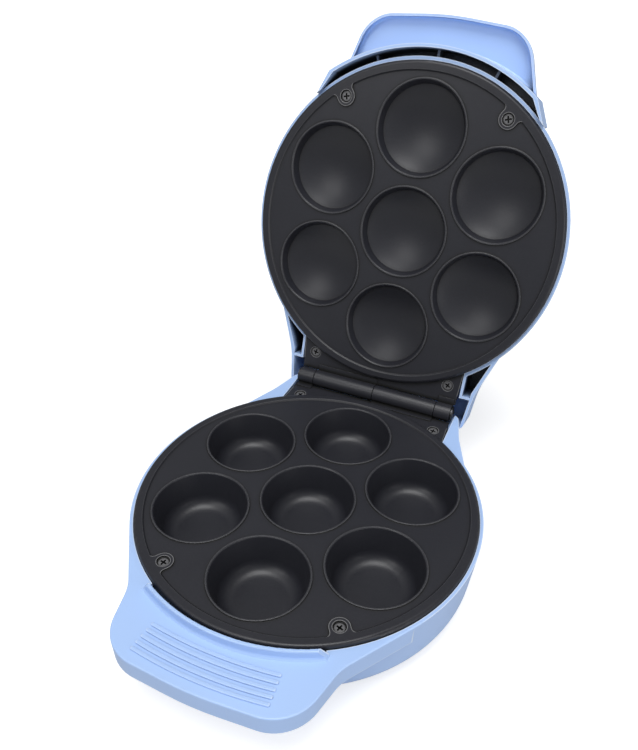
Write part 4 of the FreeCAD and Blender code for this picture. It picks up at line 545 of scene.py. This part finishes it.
def between(mesh, outer, inner):
    """Fills the flat between two loops, or inside one."""
    edges = []
    for loop in filter(None, (outer, inner)):
        for k, corner in enumerate(loop):
            pair = (corner, loop[(k + 1) % len(loop)])
            edges.append(mesh.edges.get(pair) or mesh.edges.new(pair))
    bmesh.ops.triangle_fill(mesh, use_beauty=True, use_dissolve=False, edges=edges, normal=(0, 0, 1))


def screw_blank(name, head, shank, length, crown, seat, pitch):
    """A screw of metres, its head's top at the origin and its shank down -Z.

    crown lists (share of the head's radius, height) from the rim inwards, and seat the same from the
    rim down to the shank.
    """
    mesh = bmesh.new()
    rings = [ring_of(mesh, head * share, height) for share, height in crown]
    top = crown[-1][1]
    mouth = cross_ring(mesh, head * 0.60, head * 0.15, top)
    floor_level = top - head * 0.42
    foot = cross_ring(mesh, head * 0.34, head * 0.09, floor_level)
    between(mesh, rings[-1], mouth)
    for upper, lower in zip(rings[1:], rings[:-1]):
        skinned(mesh, upper, lower)
    skinned(mesh, mouth, foot)
    between(mesh, foot, None)
    last = rings[0]
    for radius, height in seat:
        below = ring_of(mesh, radius, height)
        skinned(mesh, last, below)
        last = below
    start = seat[-1][1]
    steps = max(8, int((length + start) / (pitch / 5)))
    for step in range(1, steps + 1):
        height = start - (length + start) * step / steps
        below = []
        for k in range(RING):
            turn = k / RING
            wave = abs(((height / pitch + turn) % 1) * 2 - 1)
            fade = min(1, step / 4, (steps - step) / 3)
            radius = shank * (1 - 0.2 * wave * fade) * (0.7 if step == steps else 1)
            angle = math.tau * turn
            below.append(mesh.verts.new((radius * math.cos(angle), radius * math.sin(angle), height)))
        skinned(mesh, last, below)
        last = below
    between(mesh, last, None)
    bmesh.ops.recalc_face_normals(mesh, faces=mesh.faces)
    data = bpy.data.meshes.new(name)
    mesh.to_mesh(data)
    mesh.free()
    data.shade_smooth()
    data.set_sharp_from_angle(angle=math.radians(38))
    blank = bpy.data.objects.new(name, data)
    bpy.context.scene.collection.objects.link(blank)
    print(name, len(data.polygons), "faces")
    return blank


# %% [markdown]
# Each packed screw is one loose island of its node's mesh. Along the line that its body's screws
# follow, the wider end is the head, so the island tells where the head's top is, which way it looks,
# and its radii and length. On the open lid that line leans with the lid.

# %% Places of the screws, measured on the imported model
def islands(name):
    """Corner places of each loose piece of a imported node."""
    mesh = bmesh.new()
    mesh.from_mesh(nodes[name].data)
    bmesh.ops.remove_doubles(mesh, verts=mesh.verts, dist=0.00001)
    waiting, pieces = set(mesh.verts), []
    while waiting:
        front, piece = [waiting.pop()], []
        while front:
            corner = front.pop()
            piece.append(corner.co.copy())
            for edge in corner.link_edges:
                other = edge.other_vert(corner)
                if other in waiting:
                    waiting.remove(other)
                    front.append(other)
        pieces.append(piece)
    mesh.free()
    return pieces


def middle_of(values):
    return (min(values) + max(values)) / 2


def measured(points, line):
    """Top of the head, the way it looks, the head's radius, the larger of both ends' radii, and the length of one
    screw.
    """
    across = (Vector((1, 0, 0)), line.cross(Vector((1, 0, 0))))
    axis = sum((way * middle_of([point.dot(way) for point in points]) for way in across), Vector())
    heights = [point.dot(line) for point in points]
    low_end, high_end = min(heights), max(heights)

    def width(level):
        near = [point for point, height in zip(points, heights) if abs(height - level) < 0.0012]
        return max((point - line * point.dot(line) - axis).length for point in near)

    head_up = width(high_end) > width(low_end)
    outward = line if head_up else -line
    top = axis + line * (high_end if head_up else low_end)
    radii = sorted((width(low_end), width(high_end)))
    return {"top": top, "outward": outward, "head": radii[1], "length": high_end - low_end}


screws = {name: [measured(points, lines[name[:5]]) for points in islands(name)] for name in PLATE_SCREWS + SMALL_SCREWS}
for name, found in screws.items():
    print(name, len(found), "head", round(found[0]["head"] / MM, 2), "length", round(found[0]["length"] / MM, 2), "mm")

# %% Two blanks
plate_head, plate_length = screws[PLATE_SCREWS[0]][0]["head"], screws[PLATE_SCREWS[0]][0]["length"]
small_head, small_length = screws[SMALL_SCREWS[0]][0]["head"], screws[SMALL_SCREWS[0]][0]["length"]
PLATE_SHANK, SMALL_SHANK = 1.95 * MM, 1.3 * MM
plate_blank = screw_blank(
    "plate_screw_blank", plate_head, PLATE_SHANK, plate_length,
    crown=[(1.0, -0.25 * MM), (0.97, -0.08 * MM), (0.90, 0.0), (0.74, 0.0)],
    seat=[(plate_head * 0.97, -0.42 * MM), (PLATE_SHANK, -1.3 * MM)], pitch=1.4 * MM,
)
small_blank = screw_blank(
    "small_screw_blank", small_head, SMALL_SHANK, small_length,
    crown=[(1.0, -1.1 * MM), (0.95, -0.62 * MM), (0.84, -0.27 * MM), (0.70, -0.06 * MM), (0.66, 0.0)],
    seat=[(small_head, -1.7 * MM), (small_head * 0.96, -1.8 * MM), (SMALL_SHANK, -1.8 * MM)], pitch=1.0 * MM,
)

# %% [markdown]
# The tree takes points that each carry the direction in which a head looks. It turns the blank to
# that direction, spins it by a random amount, because nobody drives screws to the same angle, and
# sets one on each point. The copies are made real at the end and get their finish there.

# %% A tree that drives the screws
def screw_tree():
    tree = bpy.data.node_groups.new("driven_screws", "GeometryNodeTree")
    for label, kind in (
        ("Places", "NodeSocketGeometry"), ("Blank", "NodeSocketObject"), ("Spin", "NodeSocketFloat"),
        ("Seed", "NodeSocketInt"), ("Finish", "NodeSocketMaterial"),
    ):
        tree.interface.new_socket(label, in_out="INPUT", socket_type=kind)
    tree.interface.new_socket("Screws", in_out="OUTPUT", socket_type="NodeSocketGeometry")
    ends = tree.nodes.new("NodeGroupInput"), tree.nodes.new("NodeGroupOutput")
    places, blank, spin, seed, finish = (Flow(socket) for socket in list(ends[0].outputs)[:5])
    outward = places.node("GeometryNodeInputNamedAttribute", {"data_type": "FLOAT_VECTOR"}, {"Name": "outward"})
    facing = places.node("FunctionNodeAlignRotationToVector", {"axis": "Z"}, {"Vector": outward})
    chance = places.node("FunctionNodeRandomValue", {"data_type": "FLOAT"}, {"Min": 0.0, "Seed": seed}, output=1)
    chance.socket.node.inputs[3].default_value = 1.0
    turn = places.node("FunctionNodeAxisAngleToRotation", None, {"Axis": (0, 0, 1), "Angle": chance * spin})
    turned = places.node("FunctionNodeRotateRotation", {"rotation_space": "LOCAL"}, {0: facing, 1: turn})
    copy = blank.node("GeometryNodeObjectInfo", None, {"Object": blank}, output="Geometry")
    set_out = places.node(
        "GeometryNodeInstanceOnPoints", None, {"Points": places, "Instance": copy, "Rotation": turned}
    )
    real = set_out.node("GeometryNodeRealizeInstances", None, {"Geometry": set_out})
    finished = real.node("GeometryNodeSetMaterial", None, {"Geometry": real, "Material": finish})
    tree.links.new(finished.socket, ends[1].inputs[0])
    return tree


tree = screw_tree()


def drive(node, blank, finish, body, seed):
    """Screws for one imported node, as one plain mesh that rides on its body."""
    found = screws[node]
    points = bpy.data.meshes.new(node + "_places")
    points.from_pydata([screw["top"] for screw in found], [], [])
    outward = points.attributes.new("outward", "FLOAT_VECTOR", "POINT")
    for index, screw in enumerate(found):
        outward.data[index].vector = screw["outward"]
    holder = bpy.data.objects.new(node + "_places", points)
    bpy.context.scene.collection.objects.link(holder)
    driver = holder.modifiers.new("screws", "NODES")
    driver.node_group = tree
    sockets = {item.name: item.identifier for item in tree.interface.items_tree}
    for label, value in (("Blank", blank), ("Spin", math.pi / 2), ("Seed", seed), ("Finish", finish)):
        driver[sockets[label]] = value
    ready = bpy.context.evaluated_depsgraph_get()
    data = bpy.data.meshes.new_from_object(holder.evaluated_get(ready))
    bpy.data.objects.remove(holder)
    piece = bpy.data.objects.new(node + "_driven", data)
    bpy.context.scene.collection.objects.link(piece)
    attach(piece, body)
    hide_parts(node)
    print(piece.name, len(found), "screws,", len(data.polygons), "faces")


for seed, node in enumerate(PLATE_SCREWS + SMALL_SCREWS):
    plate_kind = node in PLATE_SCREWS
    blank, finish = (plate_blank, black_screw) if plate_kind else (small_blank, zinc_screw)
    drive(node, blank, finish, "lid" if node.startswith("upper") else "base", seed + 3)
for blank in (plate_blank, small_blank):
    bpy.data.objects.remove(blank)

# %% [markdown]
# The floor is a plain pale table, and the light is soft: a wide lamp above the lid, another in
# front, and a bright room. What the camera sees of the floor is lifted a little by Is Camera Ray,
# so that it fades to the white of the photograph and still holds the shadow of the appliance.

# %% Floor and room
FLOOR_SIZE = 9.0
FLOOR_LIFT = 0.66
ROOM_LIGHT = 0.28


def background_rays(tree):
    """1 for rays that go straight or through glass from the camera, and 0 for others."""
    rays = tree.nodes.new("ShaderNodeLightPath")
    return Flow(rays.outputs["Is Camera Ray"]) + Flow(rays.outputs["Is Transmission Ray"])


floor_mesh = bpy.data.meshes.new("floor")
half = FLOOR_SIZE / 2
floor_mesh.from_pydata([(-half, -half, 0), (half, -half, 0), (half, half, 0), (-half, half, 0)], [], [(0, 1, 2, 3)])
floor = bpy.data.objects.new("floor", floor_mesh)
bpy.context.scene.collection.objects.link(floor)
floor_paint, floor_shader, floor_place = start_finish("floor_paint", Roughness=0.9, Specular_IOR_Level=0.1)
feed(floor_shader, Base_Color=mixed(noise(floor_place, 0.4, 2), (0.60, 0.60, 0.60), (0.63, 0.63, 0.63)))
floor_tree = floor_paint.node_tree
far_out = ramp(floor_place.vector("LENGTH", output="Value"), (0.2, 0.0), (0.75, 1.0))
floor_glow = floor_tree.nodes.new("ShaderNodeEmission")
glow = background_rays(floor_tree) * (FLOOR_LIFT + far_out * (1 - FLOOR_LIFT))
floor_tree.links.new(glow.socket, floor_glow.inputs["Strength"])
floor_sum = floor_tree.nodes.new("ShaderNodeAddShader")
floor_tree.links.new(floor_shader.outputs[0], floor_sum.inputs[0])
floor_tree.links.new(floor_glow.outputs[0], floor_sum.inputs[1])
floor_tree.links.new(floor_sum.outputs[0], floor_tree.nodes["Material Output"].inputs["Surface"])
floor_mesh.materials.append(floor_paint)

world = bpy.data.worlds.new("room")
world.use_nodes = True
bpy.context.scene.world = world
room = world.node_tree.nodes["Background"]
room.inputs["Color"].default_value = (1, 1, 1, 1)
seen = background_rays(world.node_tree)
world.node_tree.links.new((seen * (1 - ROOM_LIGHT) + ROOM_LIGHT).socket, room.inputs["Strength"])
print("floor", FLOOR_SIZE, "m, room light", ROOM_LIGHT)


# %% Lamps
def softbox(name, place, target, size, watts):
    data = bpy.data.lights.new(name, "AREA")
    data.shape = "RECTANGLE"
    data.size, data.size_y = size
    data.energy = watts
    lamp = bpy.data.objects.new(name, data)
    bpy.context.scene.collection.objects.link(lamp)
    lamp.location = place
    lamp.rotation_euler = (Vector(target) - Vector(place)).to_track_quat("-Z", "Y").to_euler()
    return lamp


middle = (0.0, 0.03, 0.08)
softbox("lamp_above", (0.1, -0.45, 2.7), middle, (1.5, 1.5), 50.0)
softbox("lamp_front", (-0.66, -1.30, 1.38), middle, (0.8, 0.7), 6.0)
softbox("lamp_right", (1.7, -0.8, 0.45), middle, (1.1, 0.9), 8.0)

bpy.context.scene.view_settings.view_transform = "Standard"
